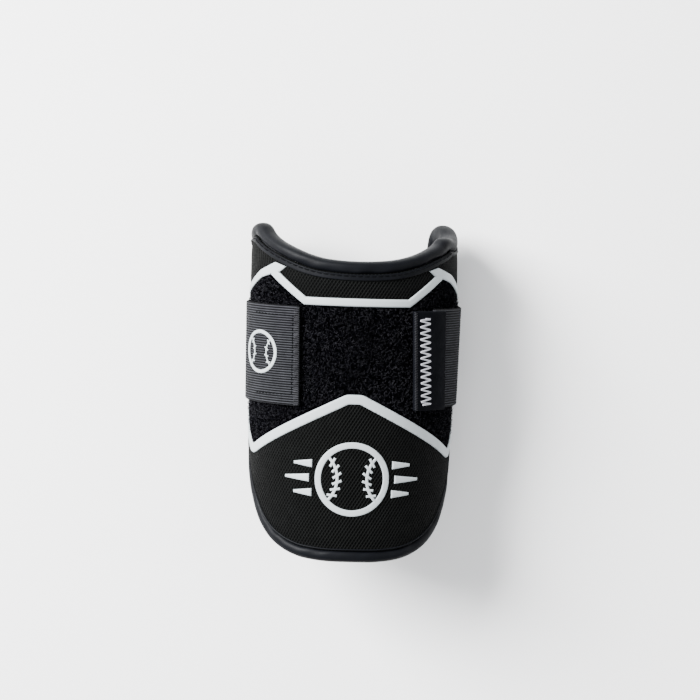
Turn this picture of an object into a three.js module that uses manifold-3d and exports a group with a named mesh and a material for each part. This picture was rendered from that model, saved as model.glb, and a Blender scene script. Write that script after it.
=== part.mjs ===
import * as THREE from 'three';
import Module from 'manifold-3d';
import { TessellateModifier } from 'three/addons/modifiers/TessellateModifier.js';
import { mergeVertices } from 'three/addons/utils/BufferGeometryUtils.js';

const wasm = await Module();
wasm.setup();

// Padded elbow guard lying on its back, with the strap loop flat on the surface.
// X runs across the arm, Y along it towards the scooped collar, Z up out of the front face.
// Cloth pieces are cut flat, in girth and length, and then wrapped on a tapered oval form.
// All sizes are millimetres.

// Oval form under the outer cloth, at the middle of the length
const formHalfWidth = 52;
const formHalfDepth = 44.3;
const formTaper = 0.055;

// Flat pattern of the shell
const shellLength = 169;
const wrapHalfGirth = 98;
const collarScoop = 17.4;

// Layers of the wall
const liningThickness = 1;
const coreThickness = 5.6;
const faceThickness = 1;
const layerClearance = 0.3;

// Rolled binding round the rim, and the flat tape below it at the collar
const bindingWidth = 6.7;
const bindingProud = 0.3;
const bindingClearance = 0.4;
const bindingSquareness = 2.6;
const bindingSides = 12;
const collarTapeWidth = 2.3;
const collarTapeThickness = 0.7;
const collarTapeEndGirth = 62;

// White stripes
const trimThickness = 0.6;
const upperTrimWidth = 4;
const lowerTrimWidth = 5;
const upperTrimHeight = 131;
const lowerTrimPeakHeight = 82;
const trimRearMargin = 2.5;

// Elastic strap and its two ends
const strapWidth = 50.8;
const strapThickness = 1.8;
const strapMidHeight = 102.7;
const leftEndGirth = 29;
const rightEndGirth = 29.6;
const rightEndSlant = 0.05;
const coverLength = 25;
const coverLap = 7;
const coverThickness = 0.9;
const hookThickness = 1;
const hookLength = 30;
const hookMargin = 3;
const strapTurnRadius = 7;

// Facet sizes
const facetGirth = 8;
const rimFacetGirth = 3.5;
const rimFineFromGirth = 64;
const trimFacetLength = 6;
const outlineSamples = 240;
const outlineStepLength = 7.5;
const outlineStepTurn = THREE.MathUtils.degToRad(14);
const flatStrapSteps = 6;
const turnSteps = 5;

// Lower edge of the pattern from the tip to the back corner
const lowerEdgeRows = [
  { girth: 0, rise: 0 },
  { girth: 0.16, rise: 0.001 },
  { girth: 0.3, rise: 0.012 },
  { girth: 0.42, rise: 0.044 },
  { girth: 0.51, rise: 0.088 },
  { girth: 0.6, rise: 0.145 },
  { girth: 0.685, rise: 0.214 },
  { girth: 0.765, rise: 0.294 },
  { girth: 0.847, rise: 0.389 },
  { girth: 0.929, rise: 0.513 },
  { girth: 0.985, rise: 0.637 },
  { girth: 1, rise: 0.745 },
  { girth: 1, rise: 0.87 },
  { girth: 0.983, rise: 0.943 },
  { girth: 0.93, rise: 0.987 },
  { girth: 0.84, rise: 1 },
];

// Collar edge from the back corner to the middle of the scoop
const collarEdgeRows = [
  { girth: 0.69, drop: 0 },
  { girth: 0.585, drop: 0.015 },
  { girth: 0.52, drop: 0.11 },
  { girth: 0.465, drop: 0.29 },
  { girth: 0.415, drop: 0.48 },
  { girth: 0.355, drop: 0.65 },
  { girth: 0.28, drop: 0.81 },
  { girth: 0.19, drop: 0.93 },
  { girth: 0.09, drop: 0.985 },
  { girth: 0, drop: 1 },
];

// Middle lines of the white stripes on one side, measured from the stripe's own height
const upperLegRows = [
  { girth: 0, rise: 0 },
  { girth: 0.27, rise: 0 },
  { girth: 0.455, rise: 0.093 },
];
const upperArmRows = [
  { girth: 0.455, rise: 0.0965 },
  { girth: 0.565, rise: 0.0735 },
  { girth: 0.66, rise: 0.043 },
  { girth: 0.775, rise: 0.0155 },
  { girth: 0.93, rise: -0.012 },
];
const upperStubRows = [
  { girth: 0.375, rise: 0.0875 },
  { girth: 0.455, rise: 0.1 },
];
const lowerArmRows = [
  { girth: 0, rise: 0 },
  { girth: 0.035, rise: 0 },
  { girth: 0.63, rise: -0.172 },
  { girth: 0.66, rise: -0.178 },
  { girth: 0.775, rise: -0.1 },
  { girth: 0.93, rise: 0.015 },
];

const finishes = {
  core: { color: 0x26282c, roughness: 0.9, metalness: 0 },
  lining: { color: 0x3a3d42, roughness: 0.95, metalness: 0 },
  binding: { color: 0x1b1e25, roughness: 0.7, metalness: 0 },
  mesh: { color: 0x141515, roughness: 0.85, metalness: 0 },
  loop: { color: 0x0b0b0c, roughness: 1, metalness: 0 },
  trim: { color: 0xdfe3e4, roughness: 0.6, metalness: 0 },
  elastic: { color: 0x37373a, roughness: 0.9, metalness: 0 },
  cover: { color: 0x18191c, roughness: 0.8, metalness: 0 },
  hook: { color: 0x101012, roughness: 0.9, metalness: 0 },
};

// Heights of the layers over the form
const faceTop = faceThickness;
const coreTop = -layerClearance;
const coreBottom = coreTop - coreThickness;
const liningTop = coreBottom - layerClearance;
const liningBottom = liningTop - liningThickness;
const trimBottom = faceTop + layerClearance;
const trimTop = trimBottom + trimThickness;
const hookBottom = faceTop + layerClearance;
const hookTop = hookBottom + hookThickness;
const strapBottom = hookTop + layerClearance;
const strapTop = strapBottom + strapThickness;
const coverTop = strapTop + layerClearance + coverThickness;
const bindingTop = faceTop + bindingProud;
const bindingBottom = liningBottom - bindingProud;
const bindingMiddle = (bindingTop + bindingBottom) / 2;
const wallInset = bindingWidth + bindingClearance;

// Arc length round the oval against its angle, measured from the front line
const angleTable = (() => {
  const steps = 1440;
  const rows = [{ angle: 0, girth: 0 }];
  for (let i = 1; i <= steps; i++) {
    const angle = (Math.PI * i) / steps;
    const middle = angle - Math.PI / steps / 2;
    const speed = Math.hypot(formHalfWidth * Math.cos(middle), formHalfDepth * Math.sin(middle));
    rows.push({ angle, girth: rows[i - 1].girth + (speed * Math.PI) / steps });
  }
  return rows;
})();

function angleAtGirth(girth) {
  const reach = Math.abs(girth);
  let low = 0;
  let high = angleTable.length - 1;
  while (high - low > 1) {
    const middle = (low + high) >> 1;
    if (angleTable[middle].girth > reach) high = middle;
    else low = middle;
  }
  const a = angleTable[low];
  const b = angleTable[high];
  const share = (reach - a.girth) / (b.girth - a.girth);
  return Math.sign(girth) * (a.angle + share * (b.angle - a.angle));
}

const lengthOf = (heightOverTip) => heightOverTip - shellLength / 2;

// A flat pattern point, with its height over the form, wrapped on the oval round its own axis
function wrapOnAxis(girth, length, height) {
  const angle = angleAtGirth(girth);
  const grow = 1 + (formTaper * length) / shellLength;
  const across = Math.sin(angle) / formHalfWidth;
  const outward = Math.cos(angle) / formHalfDepth;
  const size = Math.hypot(across, outward);
  const x = grow * formHalfWidth * Math.sin(angle) + (height * across) / size;
  const z = grow * formHalfDepth * Math.cos(angle) + (height * outward) / size;
  return new THREE.Vector3(x, length, z);
}

const strapMiddle = lengthOf(strapMidHeight);
const strapLow = strapMiddle - strapWidth / 2;
const strapHigh = strapMiddle + strapWidth / 2;
const strapTurnGirth = wrapHalfGirth - bindingWidth / 2;

// The oval's axis lies as high as the strap, turned under the back edges, lets it
const strapTurnCentre = wrapOnAxis(strapTurnGirth, strapMiddle, bindingMiddle);
const axisHeight = strapTurnRadius + strapThickness / 2 - strapTurnCentre.z;

function wrap(girth, length, height) {
  const point = wrapOnAxis(girth, length, height);
  point.z += axisHeight;
  return point;
}

// Right half of the flat pattern's outline, from the tip round the back edge to the collar
function halfOutline() {
  const points = lowerEdgeRows.map((row) => new THREE.Vector3(
    row.girth * wrapHalfGirth, lengthOf(row.rise * shellLength), 0));
  for (const row of collarEdgeRows) {
    const drop = row.drop * collarScoop;
    points.push(new THREE.Vector3(row.girth * wrapHalfGirth, lengthOf(shellLength - drop), 0));
  }
  const curve = new THREE.CatmullRomCurve3(points, false, 'centripetal');
  return curve.getSpacedPoints(outlineSamples);
}

// Whole outline as points with their inward direction, thinned to even turns and lengths
function outlineStations() {
  const right = halfOutline();
  const left = right.slice(1, -1).reverse().map((p) => new THREE.Vector3(-p.x, p.y, 0));
  const loop = right.concat(left);
  const count = loop.length;
  const stations = [];
  let lastTurn = 0;
  let walked = 0;
  let turned = 0;
  for (let i = 0; i < count; i++) {
    const before = loop[(i + count - 1) % count];
    const after = loop[(i + 1) % count];
    const along = after.clone().sub(before).normalize();
    const heading = Math.atan2(along.y, along.x);
    if (i > 0) {
      walked += loop[i].distanceTo(loop[i - 1]);
      turned += Math.abs(Math.atan2(Math.sin(heading - lastTurn), Math.cos(heading - lastTurn)));
    }
    lastTurn = heading;
    if (i === 0 || walked >= outlineStepLength || turned >= outlineStepTurn) {
      stations.push({ point: loop[i], inward: new THREE.Vector3(-along.y, along.x, 0) });
      walked = 0;
      turned = 0;
    }
  }
  return stations;
}

// Lower and upper edge of the pattern, set in from its outline, as lengths against girth
function insetEdges(inset) {
  const half = halfOutline();
  const points = half.map((point, i) => {
    const before = half[Math.max(i - 1, 0)];
    const after = half[Math.min(i + 1, half.length - 1)];
    const along = after.clone().sub(before).normalize();
    return new THREE.Vector3(point.x - along.y * inset, point.y + along.x * inset, 0);
  });
  let widest = 0;
  points.forEach((point, i) => {
    if (point.x > points[widest].x) widest = i;
  });
  const reach = points[widest].x;
  const lower = points.slice(0, widest + 1);
  const upper = points.slice(widest).reverse();
  return { reach, low: (girth) => lengthAt(lower, girth), high: (girth) => lengthAt(upper, girth) };
}

function lengthAt(points, girth) {
  const reach = Math.abs(girth);
  let i = 1;
  while (i < points.length - 1 && points[i].x < reach) i++;
  const a = points[i - 1];
  const b = points[i];
  const share = (reach - a.x) / (b.x - a.x);
  return a.y + THREE.MathUtils.clamp(share, 0, 1) * (b.y - a.y);
}

// Girths of the facet lines that all the wrapped cloth shares
function facetGirths(reach) {
  const side = [0];
  while (side.at(-1) < reach) {
    const step = side.at(-1) < rimFineFromGirth ? facetGirth : rimFacetGirth;
    side.push(side.at(-1) + step);
  }
  side.pop();
  if (reach - side.at(-1) < rimFacetGirth / 2) side.pop();
  side.push(reach);
  return side.slice(1).reverse().map((girth) => -girth).concat(side);
}

function facetGirthsBetween(from, to, extra = []) {
  const inside = facetGirths(wrapHalfGirth).filter((g) => g > from + 2 && g < to - 2);
  const all = [from, ...inside, ...extra, to];
  return all.sort((a, b) => a - b);
}

// Closed surface from rings of equal length, each ring joined to the next
function ringSurface(rings, closed) {
  const size = rings[0].length;
  const positions = rings.flat().flatMap((point) => [point.x, point.y, point.z]);
  const index = [];
  const last = closed ? rings.length : rings.length - 1;
  for (let i = 0; i < last; i++) {
    const next = (i + 1) % rings.length;
    for (let j = 0; j < size; j++) {
      const k = (j + 1) % size;
      const a = i * size + j;
      const b = next * size + j;
      const c = next * size + k;
      const d = i * size + k;
      index.push(a, b, c, a, c, d);
    }
  }
  if (!closed) {
    const end = (rings.length - 1) * size;
    for (let j = 1; j < size - 1; j++) {
      index.push(0, j, j + 1, end, end + j + 1, end + j);
    }
  }
  const geometry = new THREE.BufferGeometry();
  geometry.setAttribute('position', new THREE.Float32BufferAttribute(positions, 3));
  geometry.setIndex(index);
  return outwardFacing(geometry);
}

// The same surface with its faces pointing out of the volume
function outwardFacing(geometry) {
  const position = geometry.getAttribute('position');
  const index = geometry.getIndex().array;
  const a = new THREE.Vector3();
  const b = new THREE.Vector3();
  const c = new THREE.Vector3();
  let volume = 0;
  for (let i = 0; i < index.length; i += 3) {
    a.fromBufferAttribute(position, index[i]);
    b.fromBufferAttribute(position, index[i + 1]);
    c.fromBufferAttribute(position, index[i + 2]);
    volume += a.dot(b.cross(c));
  }
  if (volume < 0) geometry.setIndex(Array.from(index).reverse());
  return geometry;
}

// Cloth between two edges given against girth, from one height over the form to another
function wrappedPanel({ girths, low, high, bottom, top, slant = 0, slantFrom = 0 }) {
  const rings = girths.map((girth) => {
    const lowLength = low(girth);
    const highLength = high(girth);
    const lowGirth = girth - slant * (lowLength - slantFrom);
    const highGirth = girth - slant * (highLength - slantFrom);
    return [
      wrap(lowGirth, lowLength, bottom(girth)),
      wrap(highGirth, highLength, bottom(girth)),
      wrap(highGirth, highLength, top(girth)),
      wrap(lowGirth, lowLength, top(girth)),
    ];
  });
  return ringSurface(rings, false);
}

// A middle line of a stripe on one side, as girth and length
function stripeLine(rows, height) {
  return rows.map((row) => new THREE.Vector2(
    row.girth * wrapHalfGirth, lengthOf(height + row.rise * shellLength)));
}

const wallEdges = insetEdges(wallInset);
const wallReach = wallEdges.reach - bindingClearance;

const upperTrimLine = stripeLine(upperLegRows, upperTrimHeight)
  .concat(stripeLine(upperArmRows.slice(1), upperTrimHeight));
const lowerTrimLine = stripeLine(lowerArmRows, lowerTrimPeakHeight);

// A stripe of even width along a line, with mitred corners
function stripeShape(line, width) {
  const half = width / 2;
  const side = (sign) => line.map((point, i) => {
    const before = line[Math.max(i - 1, 0)];
    const after = line[Math.min(i + 1, line.length - 1)];
    const arriving = point.clone().sub(before);
    const leaving = after.clone().sub(point);
    if (arriving.length() === 0) arriving.copy(leaving);
    if (leaving.length() === 0) leaving.copy(arriving);
    arriving.normalize();
    leaving.normalize();
    const mitre = new THREE.Vector2(-arriving.y - leaving.y, arriving.x + leaving.x).normalize();
    const reach = half / (mitre.x * -leaving.y + mitre.y * leaving.x);
    return point.clone().addScaledVector(mitre, sign * reach);
  });
  return new THREE.Shape(side(1).concat(side(-1).reverse()));
}

function toSolid(geometry) {
  geometry.deleteAttribute('normal');
  geometry.deleteAttribute('uv');
  const merged = mergeVertices(geometry, 1e-5);
  return new wasm.Manifold(new wasm.Mesh({
    numProp: 3,
    vertProperties: new Float32Array(merged.getAttribute('position').array),
    triVerts: new Uint32Array(merged.getIndex().array),
  }));
}

function fromSolid(solid) {
  const mesh = solid.getMesh();
  const geometry = new THREE.BufferGeometry();
  geometry.setAttribute('position', new THREE.Float32BufferAttribute(mesh.vertProperties, 3));
  geometry.setIndex(Array.from(mesh.triVerts));
  return geometry;
}

// Stripes joined into one flat body, cut into short facets and wrapped on the form
function wrappedStripes(shapes, bottom, top) {
  const depth = top - bottom;
  const slabs = shapes.map((shape) => toSolid(
    new THREE.ExtrudeGeometry(shape, { depth, bevelEnabled: false, steps: 1 })));
  const joined = slabs.reduce((whole, slab) => whole.add(slab));
  const fine = new TessellateModifier(trimFacetLength, 12).modify(fromSolid(joined));
  const geometry = mergeVertices(fine, 1e-4);
  const position = geometry.getAttribute('position');
  for (let i = 0; i < position.count; i++) {
    const point = wrap(position.getX(i), position.getY(i), bottom + position.getZ(i));
    position.setXYZ(i, point.x, point.y, point.z);
  }
  return outwardFacing(geometry);
}

const mirrored = (line) => line.map((point) => new THREE.Vector2(-point.x, point.y)).reverse();

function wallLayer(bottom, top, edges = {}) {
  return wrappedPanel({
    girths: facetGirths(wallReach),
    low: edges.low ?? wallEdges.low,
    high: edges.high ?? wallEdges.high,
    bottom: () => bottom,
    top: () => top,
  });
}

function paddedCore() {
  return wallLayer(coreBottom, coreTop);
}

function innerLining() {
  return wallLayer(liningBottom, liningTop);
}

function upperMeshPanel() {
  const low = (girth) => lengthAt(upperTrimLine, girth) + layerClearance / 2;
  return wallLayer(0, faceTop, { low });
}

function loopField() {
  const low = (girth) => lengthAt(lowerTrimLine, girth) + layerClearance / 2;
  const high = (girth) => lengthAt(upperTrimLine, girth) - layerClearance / 2;
  return wallLayer(0, faceTop, { low: (girth) => Math.max(low(girth), wallEdges.low(girth)), high });
}

// Girth where a stripe's line meets the lower rim
function crossingGirth(line) {
  let girth = 0;
  while (girth < wallReach && lengthAt(line, girth) > wallEdges.low(girth)) girth += 0.25;
  return girth;
}

function lowerMeshPanel() {
  const reach = crossingGirth(lowerTrimLine) - rimFacetGirth;
  return wrappedPanel({
    girths: facetGirths(reach),
    low: wallEdges.low,
    high: (girth) => lengthAt(lowerTrimLine, girth) - layerClearance / 2,
    bottom: () => 0,
    top: () => faceTop,
  });
}

// The rolled binding: a squarish round section carried round the outline
function edgeBinding() {
  const halfWidth = bindingWidth / 2;
  const halfHeight = (bindingTop - bindingBottom) / 2;
  const power = 2 / bindingSquareness;
  const section = [];
  for (let i = 0; i < bindingSides; i++) {
    const turn = (2 * Math.PI * (i + 0.5)) / bindingSides;
    const across = Math.sign(Math.cos(turn)) * Math.abs(Math.cos(turn)) ** power;
    const up = Math.sign(Math.sin(turn)) * Math.abs(Math.sin(turn)) ** power;
    section.push({ inset: halfWidth * (1 + across), height: bindingMiddle + halfHeight * up });
  }
  const rings = outlineStations().map(({ point, inward }) => section.map((corner) => {
    const place = point.clone().addScaledVector(inward, corner.inset);
    return wrap(place.x, place.y, corner.height);
  }));
  return ringSurface(rings, true);
}

// Flat tape that laps from the binding over the upper mesh panel
function collarTape() {
  const inner = insetEdges(wallInset + collarTapeWidth);
  return wrappedPanel({
    girths: facetGirths(collarTapeEndGirth),
    low: inner.high,
    high: wallEdges.high,
    bottom: () => trimBottom,
    top: () => trimBottom + collarTapeThickness,
  });
}

function trimmedLine(line) {
  const end = wallEdges.reach - trimRearMargin;
  return line.map((point) => (point.x > end ? new THREE.Vector2(end, lengthAt(line, end)) : point));
}

function upperTrim() {
  const legs = stripeLine(upperLegRows, upperTrimHeight);
  const arm = trimmedLine(stripeLine(upperArmRows, upperTrimHeight));
  const stub = stripeLine(upperStubRows, upperTrimHeight);
  const bar = mirrored(legs.slice(1)).concat(legs.slice(1));
  const lines = [bar, arm, mirrored(arm), stub, mirrored(stub)];
  return wrappedStripes(lines.map((line) => stripeShape(line, upperTrimWidth)), trimBottom, trimTop);
}

function lowerTrim() {
  const end = crossingGirth(lowerTrimLine) - trimRearMargin;
  const half = lowerTrimLine.filter((point) => point.x > 0 && point.x < end);
  half.push(new THREE.Vector2(end, lengthAt(lowerTrimLine, end)));
  const line = mirrored(half).concat(half);
  return wrappedStripes([stripeShape(line, lowerTrimWidth)], trimBottom, trimTop);
}

const coverLapGirth = rightEndGirth + coverLength - coverLap;

// Section of the strap at one length: down the flank, round its turn and flat to the middle
function strapSide(length, height, endGirth, sign, endSlant = 0) {
  const girths = facetGirthsBetween(endGirth, strapTurnGirth);
  girths[0] -= endSlant * (length - strapMiddle);
  const points = girths.map((girth) => wrap(sign * girth, length, height));
  const centre = wrap(sign * strapTurnGirth, length, bindingMiddle);
  const start = points.at(-1).clone().sub(centre);
  const startTurn = Math.atan2(start.z, sign * start.x);
  const floorRadius = centre.z + height - strapTop;
  for (let i = 1; i <= turnSteps; i++) {
    const share = i / turnSteps;
    const turn = THREE.MathUtils.lerp(startTurn, -Math.PI / 2, share);
    const radius = THREE.MathUtils.lerp(start.length(), floorRadius, share);
    points.push(new THREE.Vector3(
      centre.x + sign * radius * Math.cos(turn), length, centre.z + radius * Math.sin(turn)));
  }
  return points;
}

function strapSection(length, height) {
  const left = strapSide(length, height, leftEndGirth, -1);
  const right = strapSide(length, height, coverLapGirth + layerClearance, 1, rightEndSlant).reverse();
  const flat = [];
  for (let i = 1; i < flatStrapSteps; i++) {
    flat.push(left.at(-1).clone().lerp(right[0], i / flatStrapSteps));
  }
  return left.concat(flat, right);
}

function elasticStrap() {
  const edges = [
    strapSection(strapLow, strapBottom),
    strapSection(strapHigh, strapBottom),
    strapSection(strapHigh, strapTop),
    strapSection(strapLow, strapTop),
  ];
  const rings = edges[0].map((_, i) => edges.map((edge) => edge[i]));
  return ringSurface(rings, false);
}

// Cover on the right end: as thick as the elastic in front, then lapping over it
function rightStrapCover() {
  const step = coverLapGirth;
  return wrappedPanel({
    girths: facetGirthsBetween(rightEndGirth, rightEndGirth + coverLength, [step - 0.1, step]),
    low: () => strapLow,
    high: () => strapHigh,
    bottom: (girth) => (girth < step ? strapBottom : strapTop + layerClearance),
    top: () => coverTop,
    slant: rightEndSlant,
    slantFrom: strapMiddle,
  });
}

function hookPatch(sign, endGirth) {
  const from = endGirth + hookMargin;
  const girths = facetGirthsBetween(from, from + hookLength).map((girth) => sign * girth);
  return wrappedPanel({
    girths,
    low: () => strapLow + hookMargin,
    high: () => strapHigh - hookMargin,
    bottom: () => hookBottom,
    top: () => hookTop,
  });
}

function piece(name, geometry, finish) {
  const mesh = new THREE.Mesh(geometry, new THREE.MeshStandardMaterial(finishes[finish]));
  mesh.name = name;
  return mesh;
}

const group = new THREE.Group();
group.add(
  piece('padded_core', paddedCore(), 'core'),
  piece('inner_lining', innerLining(), 'lining'),
  piece('edge_binding', edgeBinding(), 'binding'),
  piece('collar_tape', collarTape(), 'binding'),
  piece('upper_mesh_panel', upperMeshPanel(), 'mesh'),
  piece('loop_field', loopField(), 'loop'),
  piece('lower_mesh_panel', lowerMeshPanel(), 'mesh'),
  piece('upper_trim', upperTrim(), 'trim'),
  piece('lower_trim', lowerTrim(), 'trim'),
  piece('left_hook_patch', hookPatch(-1, leftEndGirth), 'hook'),
  piece('right_hook_patch', hookPatch(1, rightEndGirth), 'hook'),
  piece('elastic_strap', elasticStrap(), 'elastic'),
  piece('right_strap_cover', rightStrapCover(), 'cover'),
);

export default group;
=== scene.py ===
"""Looks of a padded baseball elbow guard, lying on the flat back of its elastic strap.

The cloth pieces are cut flat in girth and length, as a sewing pattern is, and wrapped on a tapered
oval form with a height over it. All lengths are metres.
"""

import logging
from collections.abc import Callable
from dataclasses import dataclass, field, replace
from enum import Enum
from functools import cache

import bpy
import numpy as np
from mathutils import Matrix, Vector
from mathutils.geometry import delaunay_2d_cdt


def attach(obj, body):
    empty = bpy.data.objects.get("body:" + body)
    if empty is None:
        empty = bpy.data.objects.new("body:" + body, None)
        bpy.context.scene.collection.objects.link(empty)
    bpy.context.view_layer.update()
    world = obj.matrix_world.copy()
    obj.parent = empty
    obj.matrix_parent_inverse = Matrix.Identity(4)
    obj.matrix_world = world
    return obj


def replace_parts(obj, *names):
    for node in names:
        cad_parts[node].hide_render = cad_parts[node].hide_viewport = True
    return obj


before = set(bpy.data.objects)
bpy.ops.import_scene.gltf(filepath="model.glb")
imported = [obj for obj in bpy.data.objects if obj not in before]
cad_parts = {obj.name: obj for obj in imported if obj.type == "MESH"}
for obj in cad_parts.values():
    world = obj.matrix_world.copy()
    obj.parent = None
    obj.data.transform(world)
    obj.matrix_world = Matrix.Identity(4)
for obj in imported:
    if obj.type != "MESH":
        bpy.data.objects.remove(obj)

LOG = logging.getLogger("elbow_guard")
MM = 0.001
# Metres of cloth for one unit of the flat coordinates.
UV_UNIT = 0.1
# Where the view is aimed along the arm: the zero of the lengths that were read off the photograph.
AIM_ALONG = -2.85 * MM
BODY = "root"
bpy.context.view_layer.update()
Line = Callable[[np.ndarray], np.ndarray]


@dataclass(frozen=True)
class Form:
    """The tapered oval that the shell is wrapped on, and the layers of its wall."""

    half_width: float = 52 * MM
    half_depth: float = 44.3 * MM
    taper: float = 0.055
    length: float = 169 * MM
    wrap_half_girth: float = 98 * MM
    collar_scoop: float = 17.4 * MM
    face: float = 1.0 * MM
    core: float = 5.6 * MM
    lining: float = 1.0 * MM
    gap: float = 0.3 * MM
    binding_width: float = 6.7 * MM
    binding_proud: float = 0.3 * MM
    strap_turn_radius: float = 7 * MM
    strap_thickness: float = 1.8 * MM
    strap_middle: float = 18.27 * MM
    corner_sink: float = 2.2 * MM
    corner_dip: float = 2.6 * MM
    corner_rise: float = 8.0 * MM
    right_curl: float = 4.6 * MM
    left_curl: float = 1.2 * MM
    left_turn: float = 8.5 * MM
    sink_spans: tuple = ((12 * MM, 50 * MM), (58 * MM, 82 * MM))
    dip_spans: tuple = ((38 * MM, 56 * MM), (57 * MM, 78 * MM))
    rise_span: tuple = (58 * MM, 88 * MM)
    turn_spans: tuple = ((26 * MM, 56 * MM), (60 * MM, 98 * MM))
    curl_span: tuple = (56 * MM, 96 * MM)
    set_fade: tuple = (60 * MM, 80 * MM)
    turn_fade: tuple = (61 * MM, 79 * MM)
    curl_fade: tuple = (42 * MM, 80 * MM)

    def lining_span(self) -> tuple[float, float]:
        """Lowest and highest height of the lining over the form."""
        top = -2 * self.gap - self.core
        return top - self.lining, top

    def binding_middle(self) -> float:
        """Height of the middle of the rolled binding over the form."""
        return (self.face + self.lining_span()[0]) / 2

    def angle_at(self, girth: np.ndarray) -> np.ndarray:
        """Angle on the oval for an arc length from its front line, by summing small arcs.

        Args:
            girth: arc lengths, negative on the left.

        Returns:
            Angles in radians, with the girth's sign.
        """
        turn = np.linspace(0, np.pi, 2881)
        middle = (turn[1:] + turn[:-1]) / 2
        speed = np.hypot(self.half_width * np.cos(middle), self.half_depth * np.sin(middle))
        walked = np.concatenate([[0], np.cumsum(speed * np.diff(turn))])
        return np.sign(girth) * np.interp(np.abs(girth), walked, turn)

    def wrap_on_axis(self, girth: np.ndarray, along: np.ndarray, height: np.ndarray) -> np.ndarray:
        """Points on the oval round its own axis: the oval's point plus the height times its normal.

        Args:
            girth: arc length from the front line.
            along: length along the arm, from the middle.
            height: distance out from the form.

        Returns:
            An array of points, with x, y and z in its last axis.
        """
        girth, along, height = np.broadcast_arrays(girth, along, height)
        angle = self.angle_at(girth)
        across = np.sin(angle) / self.half_width
        out = np.cos(angle) / self.half_depth
        size = np.hypot(across, out)
        grow = 1 + self.taper * along / self.length
        x = grow * self.half_width * np.sin(angle) + height * across / size
        z = grow * self.half_depth * np.cos(angle) + height * out / size
        return np.stack([x, along, z], axis=-1)

    def corner_set(self, girth: np.ndarray, along: np.ndarray) -> np.ndarray:
        """How far the right collar corner has settled: its front sinks a little and its back rises.

        Args:
            girth: arc length from the front line.
            along: length along the arm, from the middle.

        Returns:
            The shift along the arm, which fades out below the collar.
        """
        rise = smooth_step(*self.rise_span, girth) * self.corner_rise
        sink = plateau(*self.sink_spans, girth) * self.corner_sink
        dip = plateau(*self.dip_spans, girth) * self.corner_dip
        return (rise - sink - dip) * smooth_step(*self.set_fade, along)

    def corner_turn(self, girth: np.ndarray, along: np.ndarray) -> np.ndarray:
        """How far the left collar corner has turned back round the arm."""
        return self.left_turn * plateau(*self.turn_spans, -girth) * smooth_step(*self.turn_fade, along)

    def corner_curl(self, girth: np.ndarray, along: np.ndarray) -> np.ndarray:
        """How far the back of each collar corner has curled in, more on the right."""
        share = smooth_step(*self.curl_span, np.abs(girth)) * smooth_step(*self.curl_fade, along)
        return np.where(girth > 0, -self.right_curl, self.left_curl) * share

    def axis_height(self) -> float:
        """Height of the oval's axis over the floor, set by the strap's turn under the back edges."""
        turn = self.wrap_half_girth - self.binding_width / 2
        centre = self.wrap_on_axis(np.array(turn), np.array(self.strap_middle), self.binding_middle())
        return self.strap_turn_radius + self.strap_thickness / 2 - float(centre[2])

    def wrap(self, girth: np.ndarray, along: np.ndarray, height: np.ndarray) -> np.ndarray:
        """Points of the flat pattern on the form where it lies on the floor."""
        turned = girth - self.corner_turn(girth, along)
        points = self.wrap_on_axis(turned, along + self.corner_set(girth, along), height)
        points[..., 0] += self.corner_curl(girth, along)
        points[..., 2] += self.axis_height()
        return points


FORM = Form()


class Outline:
    """The flat pattern's rim: a curve through a few named points, and its inset edges."""

    LOWER = ((0, -0.012), (0.16, -0.011), (0.31, 0), (0.45, 0.032), (0.56, 0.081), (0.65, 0.144),
             (0.735, 0.214), (0.81, 0.294), (0.88, 0.389), (0.945, 0.513), (0.985, 0.637),
             (1, 0.745), (1, 0.85), (0.984, 0.91), (0.94, 0.945), (0.87, 0.961), (0.8, 0.967), (0.73, 0.975))
    COLLAR = ((0.655, 0.1), (0.595, 0.02), (0.545, 0), (0.51, 0.07), (0.465, 0.29), (0.415, 0.48),
              (0.355, 0.65), (0.28, 0.81), (0.19, 0.93), (0.09, 0.985), (0, 1))
    SAMPLES = 900
    CORNER_GIRTH = 56 * MM
    CORNER_SPREAD = 9 * MM
    CORNER_EXTRA = 0.8 * MM
    CORNER_FADE = (40 * MM, 60 * MM)
    LOOP_STEP = 6

    def __init__(self, form: Form) -> None:
        """Works out the right half of the rim, from the tip to the middle of the collar."""
        lower = np.array(self.LOWER) * [form.wrap_half_girth, form.length]
        collar = np.array(self.COLLAR) * [form.wrap_half_girth, -form.collar_scoop]
        collar[:, 1] += form.length
        points = np.concatenate([lower, collar])
        points[:, 1] -= form.length / 2
        self.half = resample(centripetal(points), self.SAMPLES)

    def inward(self) -> np.ndarray:
        """Unit direction into the pattern at each sample of the half rim."""
        ahead = np.gradient(self.half, axis=0)
        ahead[0], ahead[-1] = (1, 0), (-1, 0)
        return left_of(ahead)

    def extra(self, points: np.ndarray) -> np.ndarray:
        """How much wider the roll is at the collar's two corners than elsewhere."""
        near = np.exp(-((np.abs(points[:, 0]) - self.CORNER_GIRTH) / self.CORNER_SPREAD) ** 2)
        return self.CORNER_EXTRA * near * smooth_step(*self.CORNER_FADE, points[:, 1])

    def inset(self, distance: float) -> np.ndarray:
        """The half rim moved inwards by a distance and the corners' extra width, along its normals."""
        return self.half + (distance + self.extra(self.half))[:, None] * self.inward()

    def loop(self) -> tuple[np.ndarray, np.ndarray]:
        """Points of the whole rim, and the unit directions that point inwards there."""
        return mirrored(self.half), mirrored(self.inward())

    def inset_loop(self, distance: float) -> np.ndarray:
        """The whole rim moved inwards by a distance, in steps of a few samples."""
        return mirrored(self.inset(distance)[::self.LOOP_STEP])

    def edges(self, distance: float) -> "Edges":
        """Lower and upper edge of the pattern, set in by a distance."""
        points = self.inset(distance)
        widest = int(np.argmax(points[:, 0]))
        return Edges(points[:widest + 1], points[widest:][::-1])


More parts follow.
